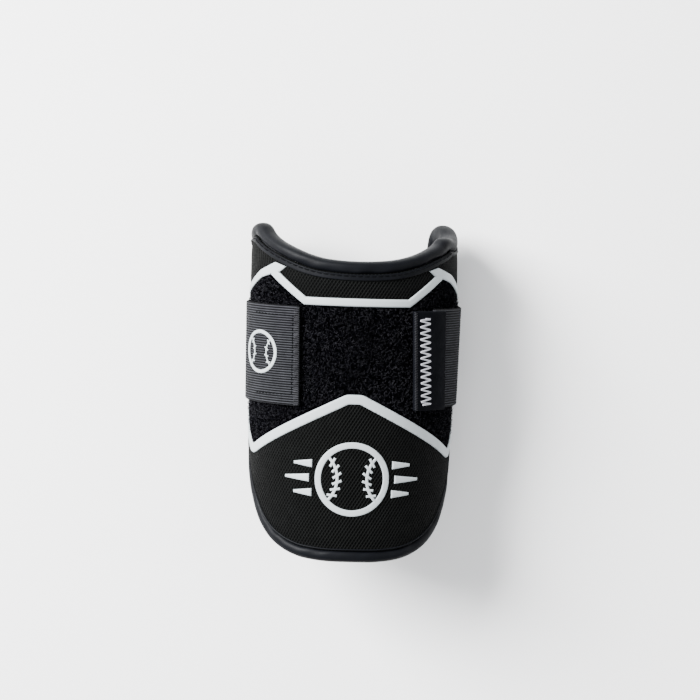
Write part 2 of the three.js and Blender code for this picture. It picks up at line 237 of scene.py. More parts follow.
@dataclass(frozen=True)
class Edges:
    """A lower and an upper edge, as lengths against girth on the right half."""

    lower: np.ndarray
    upper: np.ndarray

    def reach(self) -> float:
        """Girth of the widest point."""
        return float(self.lower[-1, 0])

    def low(self, girth: np.ndarray) -> np.ndarray:
        """Length of the lower edge at a girth."""
        return read_off(self.lower, girth)

    def high(self, girth: np.ndarray) -> np.ndarray:
        """Length of the upper edge at a girth."""
        return read_off(self.upper, girth)


def read_off(line: np.ndarray, girth: np.ndarray) -> np.ndarray:
    """Length of a line of the right half at a girth on either side."""
    return np.interp(np.abs(girth), line[:, 0], line[:, 1])


def mirrored(half: np.ndarray) -> np.ndarray:
    """The right half of a loop, carried on as its mirror image with no point twice."""
    return np.concatenate([half, half[-2:0:-1] * [-1, 1]])


def unit(vectors: np.ndarray) -> np.ndarray:
    """The vectors brought to length one."""
    return vectors / np.maximum(np.linalg.norm(vectors, axis=-1, keepdims=True), 1e-9)


def left_of(ahead: np.ndarray) -> np.ndarray:
    """Unit vectors a quarter turn to the left of flat ones."""
    ahead = unit(ahead)
    return np.stack([-ahead[:, 1], ahead[:, 0]], axis=1)


def polygon_sides(polygon: np.ndarray) -> np.ndarray:
    """Each side of a closed polygon as a pair of points."""
    return np.stack([polygon, np.roll(polygon, -1, axis=0)], axis=1)


def flat_grid(first: np.ndarray, second: np.ndarray) -> np.ndarray:
    """Two flat coordinates spread over one grid, as pairs."""
    return np.stack(np.broadcast_arrays(first, second), axis=-1)


def centripetal(points: np.ndarray, steps: int = 40) -> np.ndarray:
    """A centripetal Catmull-Rom curve: each span is a blend of lines, with knots at root chords.

    Args:
        points: the points that it passes through.
        steps: samples in each span.

    Returns:
        The sampled curve.
    """
    ends = np.concatenate([[2 * points[0] - points[1]], points, [2 * points[-1] - points[-2]]])
    share = np.linspace(0, 1, steps, endpoint=False)[:, None]
    spans = []
    for a, b, c, d in zip(ends, ends[1:], ends[2:], ends[3:]):
        k1, k2, k3 = (np.sqrt(np.linalg.norm(q - p)) for p, q in ((a, b), (b, c), (c, d)))
        t1, t2, t3 = k1, k1 + k2, k1 + k2 + k3
        t = t1 + share * k2
        ab = (t1 - t) / t1 * a + t / t1 * b
        bc = (t2 - t) / k2 * b + (t - t1) / k2 * c
        cd = (t3 - t) / k3 * c + (t - t2) / k3 * d
        abc = (t2 - t) / t2 * ab + t / t2 * bc
        bcd = (t3 - t) / (t3 - t1) * bc + (t - t1) / (t3 - t1) * cd
        spans.append((t2 - t) / k2 * abc + (t - t1) / k2 * bcd)
    return np.concatenate([*spans, points[-1:]])


def walked_length(points: np.ndarray) -> np.ndarray:
    """Distance walked along a line of points, up to each of them."""
    return np.concatenate([[0], np.cumsum(np.linalg.norm(np.diff(points, axis=0), axis=1))])


def resample(points: np.ndarray, count: int) -> np.ndarray:
    """The same line with evenly spaced points."""
    walked = walked_length(points)
    even = np.linspace(0, walked[-1], count)
    return np.stack([np.interp(even, walked, points[:, i]) for i in range(points.shape[1])], axis=1)


def smooth_step(low: float, high: float, value: np.ndarray) -> np.ndarray:
    """Zero under low, one over high, and an even S between them."""
    share = np.clip((value - low) / (high - low), 0, 1)
    return share * share * (3 - 2 * share)


def plateau(rise: tuple, fall: tuple, value: np.ndarray) -> np.ndarray:
    """One between two spans, with a smooth rise over the first and a fall over the second."""
    return smooth_step(*rise, value) * (1 - smooth_step(*fall, value))


def rounded(distance: np.ndarray, radius: float) -> np.ndarray:
    """A quarter circle's rise from zero at an edge to one at a radius from it."""
    share = np.clip(distance / radius, 0, 1)
    return np.sqrt(np.clip(1 - (1 - share) ** 2, 0, 1))


def edge_spaced(low: float, high: float, count: int, crowd: float = 0.55) -> np.ndarray:
    """Values from low to high that lie closer together at both ends."""
    even = np.linspace(0, 1, count)
    eased = (1 - np.cos(np.pi * even)) / 2
    return low + (high - low) * ((1 - crowd) * even + crowd * eased)


def grid_quads(rows: int, columns: int, closed_rows: bool = False,
               closed_columns: bool = False) -> np.ndarray:
    """Quads of a grid of points in row order, joined round where it is closed."""
    i = np.arange(rows if closed_rows else rows - 1)[:, None]
    j = np.arange(columns if closed_columns else columns - 1)[None, :]
    below, beside = (i + 1) % rows, (j + 1) % columns
    corners = (i * columns + j, below * columns + j, below * columns + beside, i * columns + beside)
    return np.stack([np.broadcast_to(c, (i.size, j.size)) for c in corners], axis=-1).reshape(-1, 4)


@dataclass
class Surface:
    """Points, faces of three or four corners, and a flat coordinate for each point."""

    points: np.ndarray
    faces: list
    flat: np.ndarray

    @staticmethod
    def slab(top: np.ndarray, bottom: np.ndarray, flat: np.ndarray) -> "Surface":
        """A closed slab between two grids of points that lie over each other.

        Args:
            top: rows by columns by three.
            bottom: the same size, under the top.
            flat: rows by columns by two, the flat coordinates of both.

        Returns:
            The slab, with its sides closed.
        """
        rows, columns = top.shape[:2]
        count = rows * columns
        quads = grid_quads(rows, columns)
        index = np.arange(count).reshape(rows, columns)
        rim = np.concatenate([index[0, :-1], index[:-1, -1], index[-1, :0:-1], index[:0:-1, 0]])
        after = np.roll(rim, -1)
        sides = np.stack([rim, after, after + count, rim + count], axis=1)
        faces = np.concatenate([quads, quads[:, ::-1] + count, sides])
        points = np.concatenate([top.reshape(-1, 3), bottom.reshape(-1, 3)])
        return Surface(points, faces.tolist(), np.tile(flat.reshape(-1, 2), (2, 1)))

    @staticmethod
    def rings(rings: np.ndarray, flat: np.ndarray, closed: bool) -> "Surface":
        """Rings of points, each joined to the next; the last is joined to the first, or both are capped."""
        rows, columns = rings.shape[:2]
        faces = grid_quads(rows, columns, closed, True).tolist()
        if not closed:
            faces.append(list(range(columns)))
            faces.append(list(range(rows * columns - 1, (rows - 1) * columns - 1, -1)))
        return Surface(rings.reshape(-1, 3), faces, flat.reshape(-1, 2))

    @staticmethod
    def tube(path: np.ndarray, side: np.ndarray, up: np.ndarray, section: np.ndarray,
             closed: bool) -> "Surface":
        """A section carried along a path: each ring is the path's point plus side and up shares.

        Args:
            path: points of the path.
            side: a direction at each point that the section's first value runs along.
            up: a direction at each point that its second value runs along.
            section: the section's points, as two values each.
            closed: whether the path joins itself; if not, its ends are capped.

        Returns:
            The tube, with the walked length and the way round as flat coordinates.
        """
        rings = path[:, None] + side[:, None] * section[None, :, :1] + up[:, None] * section[None, :, 1:]
        around = walked_length(np.concatenate([section, section[:1]]))[:-1]
        return Surface.rings(rings, flat_grid(walked_length(path)[:, None], around[None, :]), closed)

    @staticmethod
    def joined(surfaces: list) -> "Surface":
        """Several surfaces as one."""
        faces, start = [], 0
        for surface in surfaces:
            faces += [[corner + start for corner in face] for face in surface.faces]
            start += len(surface.points)
        points = np.concatenate([s.points for s in surfaces])
        return Surface(points, faces, np.concatenate([s.flat for s in surfaces]))

    def outward(self) -> "Surface":
        """The same closed surface with its faces pointing out, told by the sign of its volume."""
        origin = self.points.mean(axis=0)
        a, b, c, d = (self.points[[face[i] for face in self.faces]] - origin for i in (0, 1, 2, -1))
        volume = np.einsum("ij,ij->", a, np.cross(b, c)) + np.einsum("ij,ij->", a, np.cross(c, d))
        if volume < 0:
            self.faces = [face[::-1] for face in self.faces]
        return self

    def build(self, name: str, finish: "Finish") -> bpy.types.Object:
        """The surface as a smooth-shaded mesh object with its flat coordinates as a UV map.

        Args:
            name: the piece's name.
            finish: what it is made of.

        Returns:
            The new object, riding on the guard's one body.
        """
        mesh = bpy.data.meshes.new(name)
        mesh.from_pydata(self.points.tolist(), [], self.faces)
        corner = np.empty(len(mesh.loops), dtype=np.int32)
        mesh.loops.foreach_get("vertex_index", corner)
        layer = mesh.uv_layers.new(name="pattern")
        layer.data.foreach_set("uv", (self.flat[corner] / UV_UNIT).ravel())
        mesh.polygons.foreach_set("use_smooth", np.ones(len(mesh.polygons), dtype=bool))
        mesh.update()
        mesh.materials.append(finish.material())
        piece = add_object(name, mesh)
        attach(piece, BODY)
        triangles = sum(len(face) - 2 for face in self.faces)
        LOG.info("%s: %d triangles in %s", name, triangles, finish.name)
        return piece


def add_object(name: str, data: bpy.types.ID) -> bpy.types.Object:
    """A new object in the scene."""
    added = bpy.data.objects.new(name, data)
    bpy.context.scene.collection.objects.link(added)
    return added


class Pattern(Enum):
    """What covers a finish's surface."""

    CLOTH = "plain fine cloth"
    MESH = "woven mesh with small diamonds"
    PILE = "fuzzy loop pile"
    RIBS = "ribbed elastic"
    FILM = "smooth printed film"
    THREAD = "twisted thread"


class Nodes:
    """Adds nodes to a tree and links them by socket name or index."""

    def __init__(self, tree: bpy.types.NodeTree) -> None:
        """Keeps the tree that the nodes go in."""
        self.tree = tree

    def add(self, kind: str, links: dict | None = None, **settings: object) -> bpy.types.Node:
        """A new node.

        Args:
            kind: the node's type name.
            links: inputs by name or index, each a socket to link or a value to set.
            settings: the node's own properties.

        Returns:
            The node.
        """
        node = self.tree.nodes.new(kind)
        for name, value in settings.items():
            setattr(node, name, value)
        for key, value in (links or {}).items():
            if isinstance(value, bpy.types.NodeSocket):
                self.tree.links.new(value, node.inputs[key])
            else:
                node.inputs[key].default_value = value
        return node

    def math(self, operation: str, first: object, second: object = 0.0,
             third: object = 0.0) -> bpy.types.NodeSocket:
        """The result of one Math node."""
        links = {0: first, 1: second, 2: third}
        return self.add("ShaderNodeMath", links, operation=operation).outputs[0]

    def group(self, tree: bpy.types.NodeTree, **links: object) -> bpy.types.Node:
        """A node group with its inputs linked or set."""
        return self.add("ShaderNodeGroup", links, node_tree=tree)

    def noise(self, vector: object, scale: object, **inputs: float) -> bpy.types.NodeSocket:
        """The value of a Noise texture."""
        return self.add("ShaderNodeTexNoise", {"Vector": vector, "Scale": scale, **inputs}).outputs["Fac"]

    def remap(self, value: object, low: float, high: float) -> bpy.types.NodeSocket:
        """A value brought from the span between low and high to that from 0 to 1."""
        return self.add("ShaderNodeMapRange", {"Value": value, "From Min": low, "From Max": high}).outputs[0]

    def wave(self, value: object, rate: object, swing: float, middle: float) -> bpy.types.NodeSocket:
        """A sine of a value times a rate, with its swing and its middle."""
        return self.math("MULTIPLY_ADD", self.math("SINE", self.math("MULTIPLY", value, rate)), swing, middle)


class Effects:
    """Shader node groups that several finishes share, each built once."""

    @staticmethod
    def start(name: str, inputs: dict) -> tuple:
        """A new group with a Vector and other named inputs, and Mask and Height outputs."""
        tree = bpy.data.node_groups.new(name, "ShaderNodeTree")
        tree.interface.new_socket(name="Vector", in_out="INPUT", socket_type="NodeSocketVector")
        for key, value in inputs.items():
            socket = tree.interface.new_socket(name=key, in_out="INPUT", socket_type="NodeSocketFloat")
            socket.default_value = value
        for key in ("Mask", "Height"):
            tree.interface.new_socket(name=key, in_out="OUTPUT", socket_type="NodeSocketFloat")
        nodes = Nodes(tree)
        return tree, nodes, nodes.add("NodeGroupInput").outputs

    @staticmethod
    @cache
    def grain() -> bpy.types.NodeTree:
        """Fine fibre grain: two noises of different scale, mixed."""
        tree, nodes, given = Effects.start("fibre_grain", {"Scale": 900.0})
        fine = nodes.noise(given["Vector"], given["Scale"], Detail=3.0, Roughness=0.65)
        broad = nodes.noise(given["Vector"], nodes.math("MULTIPLY", given["Scale"], 0.07), Detail=2.0)
        mixed = nodes.math("MULTIPLY_ADD", broad, 0.35, nodes.math("MULTIPLY", fine, 0.65))
        nodes.add("NodeGroupOutput", {"Mask": nodes.remap(mixed, 0.36, 0.64), "Height": fine})
        return tree

    @staticmethod
    @cache
    def diamonds() -> bpy.types.NodeTree:
        """Mesh weave: the higher of two slanted waves, so that yarns cross in small diamonds."""
        tree, nodes, given = Effects.start("mesh_weave_and_painted_shade", {"Pitch": 0.0175, "Steepness": 0.62})
        split = nodes.add("ShaderNodeSeparateXYZ", {0: given["Vector"]})
        rate = nodes.math("DIVIDE", 2 * np.pi, given["Pitch"])
        rise = nodes.math("MULTIPLY", split.outputs["Y"], given["Steepness"])
        yarns = []
        for operation in ("ADD", "SUBTRACT"):
            slanted = nodes.math(operation, split.outputs["X"], rise)
            yarns.append(nodes.math("POWER", nodes.wave(slanted, rate, 0.5, 0.5), 2.5))
        ridge = nodes.math("MAXIMUM", nodes.math("MULTIPLY", yarns[0], 0.6), yarns[1])
        # The mask follows the yarn height: painted highlight on the yarn ridges and near-black painted shade
        # in the gaps between them; the diamond layout is the weave's own.
        nodes.add("NodeGroupOutput", {"Mask": nodes.remap(ridge, 0.1, 0.8), "Height": ridge})
        return tree

    @staticmethod
    @cache
    def ribs() -> bpy.types.NodeTree:
        """Elastic ribs: a wave across the strap, broken up along it by the picks of the weave."""
        tree, nodes, given = Effects.start("rib_weave_and_painted_shade", {"Pitch": 0.0105, "Pick": 0.006})
        split = nodes.add("ShaderNodeSeparateXYZ", {0: given["Vector"]})
        rates = [nodes.math("DIVIDE", 2 * np.pi, given[key]) for key in ("Pitch", "Pick")]
        rib = nodes.wave(split.outputs["Y"], rates[0], 0.5, 0.5)
        pick = nodes.wave(split.outputs["X"], rates[1], 0.12, 0.88)
        height = nodes.math("MULTIPLY", nodes.math("POWER", rib, 1.5), pick)
        # The mask is the rib height itself, so the colour is painted shade in the furrows and between the
        # picks, and painted highlight on the crests.
        nodes.add("NodeGroupOutput", {"Mask": height, "Height": height})
        return tree

    @staticmethod
    @cache
    def flecks() -> bpy.types.NodeTree:
        """Loops that catch the light: the bright cells of a stretched noise over a dark ground."""
        tree, nodes, given = Effects.start("pile_flecks", {"Scale": 700.0})
        warp = nodes.noise(given["Vector"], given["Scale"], Detail=4.0, Roughness=0.75, Distortion=1.2)
        cells = nodes.add("ShaderNodeTexVoronoi", {"Vector": given["Vector"], "Scale": given["Scale"]},
                          feature="SMOOTH_F1")
        height = nodes.math("SUBTRACT", warp, cells.outputs["Distance"])
        nodes.add("NodeGroupOutput", {"Mask": nodes.remap(warp, 0.52, 0.74), "Height": height})
        return tree


@dataclass(frozen=True)
class Finish:
    """What a piece is made of: its colours, its gloss and the pattern on it."""

    name: str
    slot: str
    pattern: Pattern
    dark: tuple
    light: tuple
    roughness: float = 0.6
    sheen: float = 0.0
    relief: float = 0.3
    scale: float = 900.0
    pitch: float = 0.0105
    specular: float = 0.03

    def material(self) -> bpy.types.Material:
        """The finish's material, made once."""
        found = bpy.data.materials.get(self.name)
        return found if found else self._made()

    def _made(self) -> bpy.types.Material:
        """Builds the material: the pattern's mask mixes two colours, and its height is a bump."""
        material = bpy.data.materials.new(self.name)
        material.use_nodes = True
        tree = material.node_tree
        tree.nodes.clear()
        nodes = Nodes(tree)
        place = nodes.add("ShaderNodeTexCoord")
        mask, height, depth = self._pattern(nodes, place)
        mixed = nodes.add("ShaderNodeMix", {"Factor": mask, "A": (*self.dark, 1), "B": (*self.light, 1)},
                          data_type="RGBA")
        bump = nodes.add("ShaderNodeBump", {"Height": height, "Strength": self.relief, "Distance": depth})
        rough = nodes.add("ShaderNodeMapRange", {"Value": mask, "To Min": min(self.roughness + 0.1, 1.0),
                          "To Max": self.roughness - 0.08})
        shader = nodes.add("ShaderNodeBsdfPrincipled", {
            "Base Color": mixed.outputs["Result"], "Roughness": rough.outputs[0],
            "Normal": bump.outputs[0], "Sheen Weight": self.sheen, "Sheen Roughness": 0.45,
            "Specular IOR Level": self.specular})
        nodes.add("ShaderNodeOutputMaterial", {"Surface": shader.outputs[0]})
        return material

    def _pattern(self, nodes: Nodes, place: bpy.types.Node) -> tuple:
        """Mask, height and bump depth of the pattern.

        Args:
            nodes: the material's nodes.
            place: its Texture Coordinate node.

        Returns:
            The mask socket, the height socket and the bump's depth in metres.
        """
        solid, flat = place.outputs["Object"], place.outputs["UV"]
        grain = nodes.group(Effects.grain(), Vector=solid, Scale=self.scale)
        if self.pattern is Pattern.MESH:
            # The weave mask paints highlight on the yarn ridges and shade in the gaps.
            weave = nodes.group(Effects.diamonds(), Vector=flat, Pitch=self.pitch)
            height = nodes.math("MULTIPLY_ADD", grain.outputs["Height"], 0.25, weave.outputs["Height"])
            mask = nodes.math("MULTIPLY", weave.outputs["Mask"],
                              nodes.math("MULTIPLY_ADD", grain.outputs["Mask"], 0.5, 0.5))
            return mask, height, 0.35 * MM
        if self.pattern is Pattern.PILE:
            pile = nodes.group(Effects.flecks(), Vector=solid, Scale=self.scale)
            return pile.outputs["Mask"], pile.outputs["Height"], 0.9 * MM
        if self.pattern is Pattern.RIBS:
            # The rib mask paints shade in the furrows and highlight on the crests.
            ribs = nodes.group(Effects.ribs(), Vector=flat, Pitch=self.pitch)
            mask = nodes.math("MULTIPLY", ribs.outputs["Mask"],
                              nodes.math("MULTIPLY_ADD", grain.outputs["Mask"], 0.6, 0.4))
            height = nodes.math("MULTIPLY_ADD", grain.outputs["Height"], 0.3, ribs.outputs["Height"])
            return mask, height, 0.4 * MM
        depth = {Pattern.CLOTH: 0.12, Pattern.FILM: 0.05, Pattern.THREAD: 0.15}[self.pattern]
        return grain.outputs["Mask"], grain.outputs["Height"], depth * MM


BINDING = Finish("rolled_binding", "binding_cloth", Pattern.CLOTH, (0.0009, 0.0011, 0.0017),
                 (0.0025, 0.0029, 0.0041), roughness=0.5, sheen=0.004, scale=2200, specular=0.06)
# Its near-black dark colour is painted shade in the gaps between yarns and its light colour is painted
# highlight on the yarn ridges, set by the weave mask.
MESH_CLOTH = Finish("woven_mesh", "mesh_cloth", Pattern.MESH, (0.0001, 0.0001, 0.0001),
                    (0.0052, 0.0056, 0.0054), relief=1.0, scale=2600, pitch=0.0175, specular=0.02)
LOOP_CLOTH = Finish("loop_ground_cloth", "loop_cloth", Pattern.PILE, (0.0002, 0.0002, 0.0003),
                    (0.011, 0.0112, 0.014), roughness=0.95, relief=0.9, specular=0.0)
LOOP_FIBRE = Finish("loop_fibre", "loop_cloth", Pattern.THREAD, (0.0012, 0.0012, 0.0016),
                    (0.024, 0.024, 0.028), scale=500, specular=0.04)
TRIM_FILM = Finish("white_trim_film", "white_trim", Pattern.FILM, (0.30, 0.33, 0.34),
                   (0.335, 0.365, 0.375), roughness=0.45, relief=0.2, scale=1500, specular=0.3)
# Its dark colour is painted shade in the rib furrows and its light colour is painted highlight on the rib
# crests, set by the rib mask.
ELASTIC = Finish("ribbed_elastic", "elastic", Pattern.RIBS, (0.0008, 0.0008, 0.001), (0.044, 0.045, 0.051),
                 roughness=0.7, sheen=0.012, relief=0.8, scale=3000, pitch=0.0125, specular=0.02)
COVER = Finish("smooth_cover", "cover_cloth", Pattern.CLOTH, (0.001, 0.0012, 0.0019),
               (0.0028, 0.0031, 0.0044), roughness=0.7, scale=2600, specular=0.02)
LINING = Finish("brushed_lining", "lining_cloth", Pattern.CLOTH, (0.002, 0.0022, 0.003),
                (0.009, 0.0095, 0.011), roughness=0.9, sheen=0.01, relief=0.6, scale=1600)
FOAM = Finish("core_foam", "foam", Pattern.CLOTH, (0.02, 0.02, 0.024), (0.04, 0.04, 0.046),
              roughness=0.8, sheen=0.2, scale=1200, specular=0.15)
HOOK = Finish("moulded_hooks", "hook_tape", Pattern.PILE, (0.0005, 0.0005, 0.0005), (0.004, 0.004, 0.005),
              scale=1400)
WHITE_THREAD = Finish("white_thread", "white_trim", Pattern.THREAD, (0.27, 0.27, 0.3), (0.42, 0.42, 0.45),
                      sheen=0.02, relief=0.5, scale=1800, specular=0.2)
GREY_THREAD = Finish("grey_thread", "elastic", Pattern.THREAD, (0.006, 0.006, 0.007),
                     (0.024, 0.024, 0.027), relief=0.5, scale=1800, specular=0.05)
DARK_THREAD = Finish("dark_thread", "binding_cloth", Pattern.THREAD, (0.0002, 0.0002, 0.0003),
                     (0.0015, 0.0017, 0.0023), relief=0.5, scale=1800)


@dataclass(frozen=True)
class StripeHeights:
    """Seams under the white stripes, as shares of the half girth and of the length."""

    upper_height: float = 131.07 * MM
    lower_height: float = 81.7 * MM
    upper_rows: tuple = ((0, 0), (0.27, 0), (0.455, 0.093), (0.565, 0.0735), (0.66, 0.043),
                         (0.775, 0.0155), (0.93, -0.012))
    lower_rows: tuple = ((0, 0), (0.035, 0), (0.638, -0.179), (0.775, -0.1), (0.93, 0.015))

    def line(self, rows: tuple, height: float) -> np.ndarray:
        """Rows of shares as girth and length on the pattern."""
        points = np.array(rows) * [FORM.wrap_half_girth, FORM.length]
        return points + [0, height - FORM.length / 2]

    def upper(self) -> np.ndarray:
        """The line that parts the upper mesh panel from the loop field."""
        return self.line(self.upper_rows, self.upper_height)

    def lower(self) -> np.ndarray:
        """The line that parts the loop field from the lower mesh panel."""
        return self.line(self.lower_rows, self.lower_height)

    def upper_at(self, girth: np.ndarray) -> np.ndarray:
        """Length of the upper seam at a girth."""
        return read_off(self.upper(), girth)

    def lower_at(self, girth: np.ndarray) -> np.ndarray:
        """Length of the lower seam at a girth."""
        return read_off(self.lower(), girth)


STRIPES = StripeHeights()
OUTLINE = Outline(FORM)


def wrapped_slab(girth: np.ndarray, along: np.ndarray, top: np.ndarray, bottom: object) -> Surface:
    """A closed slab between two heights over the form.

    Args:
        girth: girths of its grid.
        along: lengths of its grid.
        top: height of its outer face.
        bottom: height of its inner face.

    Returns:
        The slab, with the girths and lengths as flat coordinates.
    """
    outer, inner = FORM.wrap(girth, along, top), FORM.wrap(girth, along, bottom)
    return Surface.slab(outer, inner, flat_grid(girth, along)).outward()


@dataclass
class ShellWall:
    """The padded core, its lining, and the three cloth panels on its face."""

    core_inset: float = 7.1 * MM
    cloth_inset: float = 6.3 * MM
    crown: float = 0.35 * MM
    crown_width: float = 7 * MM
    columns: int = 240
    rows: int = 70
    hidden_columns: int = 160
    hidden_rows: int = 36
    side_clearance: float = 0.4 * MM
    tip_clearance: float = 3 * MM

    def layer(self, name: str, finish: Finish, low: Line, high: Line, reach: float,
              bottom: float, top: float, crown: float = 0.0) -> bpy.types.Object:
        """A wrapped slab of cloth between two edges, a little crowned away from them.

        Args:
            name: the piece's name.
            finish: what it is made of.
            low: function that gives the length of its lower edge at each girth.
            high: function that gives that of its upper edge.
            reach: girth where it ends on both sides.
            bottom: height of its inner face over the form.
            top: height of its outer face.
            crown: how far its face swells between its edges.

        Returns:
            The piece.
        """
        shown = bottom >= 0
        columns, rows = (self.columns, self.rows) if shown else (self.hidden_columns, self.hidden_rows)
        girth = edge_spaced(-reach, reach, columns)[:, None]
        share = edge_spaced(0, 1, rows)[None, :]
        start, end = low(girth), high(girth)
        along = start + (end - start) * share
        border = np.minimum(np.minimum(along - start, end - along), reach - np.abs(girth))
        swell = crown * smooth_step(0, self.crown_width, border)
        return wrapped_slab(girth, along, top + swell, bottom).build(name, finish)

    def build(self) -> None:
        """Builds the core, the lining and the three panels."""
        packed, cloth = OUTLINE.edges(self.core_inset), OUTLINE.edges(self.cloth_inset)
        half_gap = FORM.gap / 2
        reach = cloth.reach() - self.side_clearance
        core = self.layer("core_pad", FOAM, packed.low, packed.high, packed.reach() - self.side_clearance,
                          -FORM.gap - FORM.core, -FORM.gap)
        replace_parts(core, "padded_core")
        lining = self.layer("lining", LINING, cloth.low, cloth.high, reach, *FORM.lining_span())
        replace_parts(lining, "inner_lining")
        spans = np.linspace(0, cloth.reach(), 600)
        meets = float(spans[np.argmax(STRIPES.lower_at(spans) < cloth.low(spans))])
        panels = (
            ("upper_mesh", MESH_CLOTH, lambda g: STRIPES.upper_at(g) + half_gap, cloth.high, reach,
             "upper_mesh_panel"),
            ("loop_ground", LOOP_CLOTH, lambda g: np.maximum(STRIPES.lower_at(g) + half_gap, cloth.low(g)),
             lambda g: STRIPES.upper_at(g) - half_gap, reach, "loop_field"),
            ("lower_mesh", MESH_CLOTH, cloth.low, lambda g: STRIPES.lower_at(g) - half_gap,
             meets - self.tip_clearance, "lower_mesh_panel"),
        )
        for name, finish, low, high, end, node in panels:
            piece = self.layer(name, finish, low, high, end, 0.0, FORM.face, self.crown)
            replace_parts(piece, node)
            self.declare(low, high, end)
        self.declare(cloth.low, cloth.high, reach)

    def declare(self, low: Line, high: Line, reach: float) -> None:
        """Reads a panel's lower and upper edge lengths at a row of girths across it; nothing is done with
        them.
        """
        girth = np.linspace(-reach, reach, 400)
        start, end = low(girth), high(girth)


@dataclass
class Rim:
    """The rolled binding round the rim, its seam line, and the flat tape below the collar's roll."""

    squareness: float = 2.4
    sides: int = 36
    pucker: float = 0.16 * MM
    short_waves: tuple = (2.1 * MM, 3.3 * MM)
    long_waves: tuple = (9.7 * MM, 14.9 * MM)
    join_fade: float = 9 * MM
    seam_inset: float = 6.95 * MM
    seam_radius: float = 0.38 * MM
    tape_width: float = 2.5 * MM
    tape_thickness: float = 0.7 * MM
    tape_reach: float = 66 * MM
    tape_taper: float = 15 * MM
    tape_gap: float = 0.2 * MM
    stitch_share: float = 0.86
    stitch_length: float = 2.6 * MM
    stitch_gap: float = 0.7 * MM
    thread_radius: float = 0.24 * MM

    def roll(self) -> Surface:
        """The roll: a squarish oval section round the rim, with soft puckers from a few waves."""
        points, inward = OUTLINE.loop()
        walked = walked_length(points)[:, None]
        turn = 2 * np.pi * np.arange(self.sides)[None, :] / self.sides
        power = 2 / self.squareness
        across = np.sign(np.cos(turn)) * np.abs(np.cos(turn)) ** power
        up = np.sign(np.sin(turn)) * np.abs(np.sin(turn)) ** power
        half_width = FORM.binding_width / 2
        middle = FORM.binding_middle()
        half_height = FORM.face + FORM.binding_proud - middle
        short, long = self.short_waves, self.long_waves
        waves = np.sin(walked / short[0] + 2 * turn) * np.sin(walked / long[0] + 1.3)
        waves = waves + 0.6 * np.sin(walked / short[1] - turn) * np.sin(walked / long[1])
        from_join = np.minimum(walked, walked[-1] - walked)
        fade = smooth_step(-0.9, 0.6, across) * smooth_step(0, self.join_fade, from_join)
        swell = self.pucker * waves * fade
        extra = OUTLINE.extra(points)[:, None]
        inset = (half_width + extra / 2) * (1 + across) + swell * across
        height = middle + (half_height + swell) * up
        place = points[:, None] + inward[:, None] * inset[..., None]
        wrapped = FORM.wrap(place[..., 0], place[..., 1], height)
        return Surface.rings(wrapped, flat_grid(walked, half_width * turn), True)

    def seam(self) -> Surface:
        """A fine raised seam line where the roll meets the cloth."""
        points, inward = OUTLINE.loop()
        place = points + inward * (self.seam_inset + OUTLINE.extra(points))[:, None]
        return wrapped_thread(place[:, 0], place[:, 1], FORM.face + 0.1 * MM, self.seam_radius, True, 8)

    def build(self) -> None:
        """Builds the binding, its stitches and the collar tape."""
        binding = Surface.joined([self.roll().outward(), self.seam().outward()]).build("rim_binding", BINDING)
        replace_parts(binding, "edge_binding")
        self.tape()

    def tape(self) -> None:
        """The flat tape below the roll at the collar, with a row of stitches along its top edge."""
        inset = self.seam_inset + self.tape_gap
        top, bottom = OUTLINE.edges(inset), OUTLINE.edges(inset + self.tape_width)
        girth = edge_spaced(-self.tape_reach, self.tape_reach, 260)[:, None]
        share = edge_spaced(0, 1, 15)[None, :]
        left = 1 - 0.93 * smooth_step(self.tape_reach - self.tape_taper, self.tape_reach, np.abs(girth))
        high = top.high(girth)
        low = high - (high - bottom.high(girth)) * left
        along = low + (high - low) * share
        border = np.minimum(along - low, high - along)
        base = FORM.face + FORM.gap
        height = base + self.tape_thickness * rounded(border + 0.05 * MM, 0.5 * MM)
        tape = wrapped_slab(girth, along, height, base).build("collar_band", BINDING)
        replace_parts(tape, "collar_tape")
        stitched = self.tape_reach - self.tape_taper * 0.6
        sewn = np.linspace(-stitched, stitched, 1200)
        low, high = bottom.high(sewn), top.high(sewn)
        line = np.stack([sewn, low + (high - low) * self.stitch_share], axis=1)
        row = stitches(line, base + self.tape_thickness, self.stitch_length, self.stitch_gap,
                       self.thread_radius)
        Surface.joined(row).build("collar_stitches", DARK_THREAD)


def round_tube(path: np.ndarray, up: np.ndarray, radius: float, closed: bool, sides: int,
               flatten: float) -> Surface:
    """A round thread along a path, with its section turned by the path and an up direction.

    Args:
        path: points of its middle line.
        up: a rough upward direction at each point.
        radius: the thread's radius.
        closed: whether the path joins itself.
        sides: corners of its section.
        flatten: the section's height as a share of its width.

    Returns:
        The tube.
    """
    if closed:
        ahead = np.roll(path, -1, axis=0) - np.roll(path, 1, axis=0)
    else:
        ahead = np.gradient(path, axis=0)
    ahead = unit(ahead)
    side = unit(np.cross(ahead, up))
    lift = np.cross(side, ahead)
    turn = 2 * np.pi * np.arange(sides) / sides
    section = radius * np.stack([np.cos(turn), flatten * np.sin(turn)], axis=1)
    return Surface.tube(path, side, lift, section, closed).outward()


def wrapped_thread(girth: np.ndarray, along: np.ndarray, height: np.ndarray, radius: float,
                   closed: bool = False, sides: int = 6, flatten: float = 1.0) -> Surface:
    """A thread along a line of the flat pattern, at a height over the form.

    Args:
        girth: girths of the line.
        along: its lengths.
        height: height of the thread's middle, at each point or one value.
        radius: the thread's radius.
        closed: whether the line joins itself.
        sides: corners of its section.
        flatten: the section's height as a share of its width.

    Returns:
        The thread.
    """
    path = FORM.wrap(girth, along, height)
    above = FORM.wrap(girth, along, height + MM)
    return round_tube(path, above - path, radius, closed, sides, flatten)


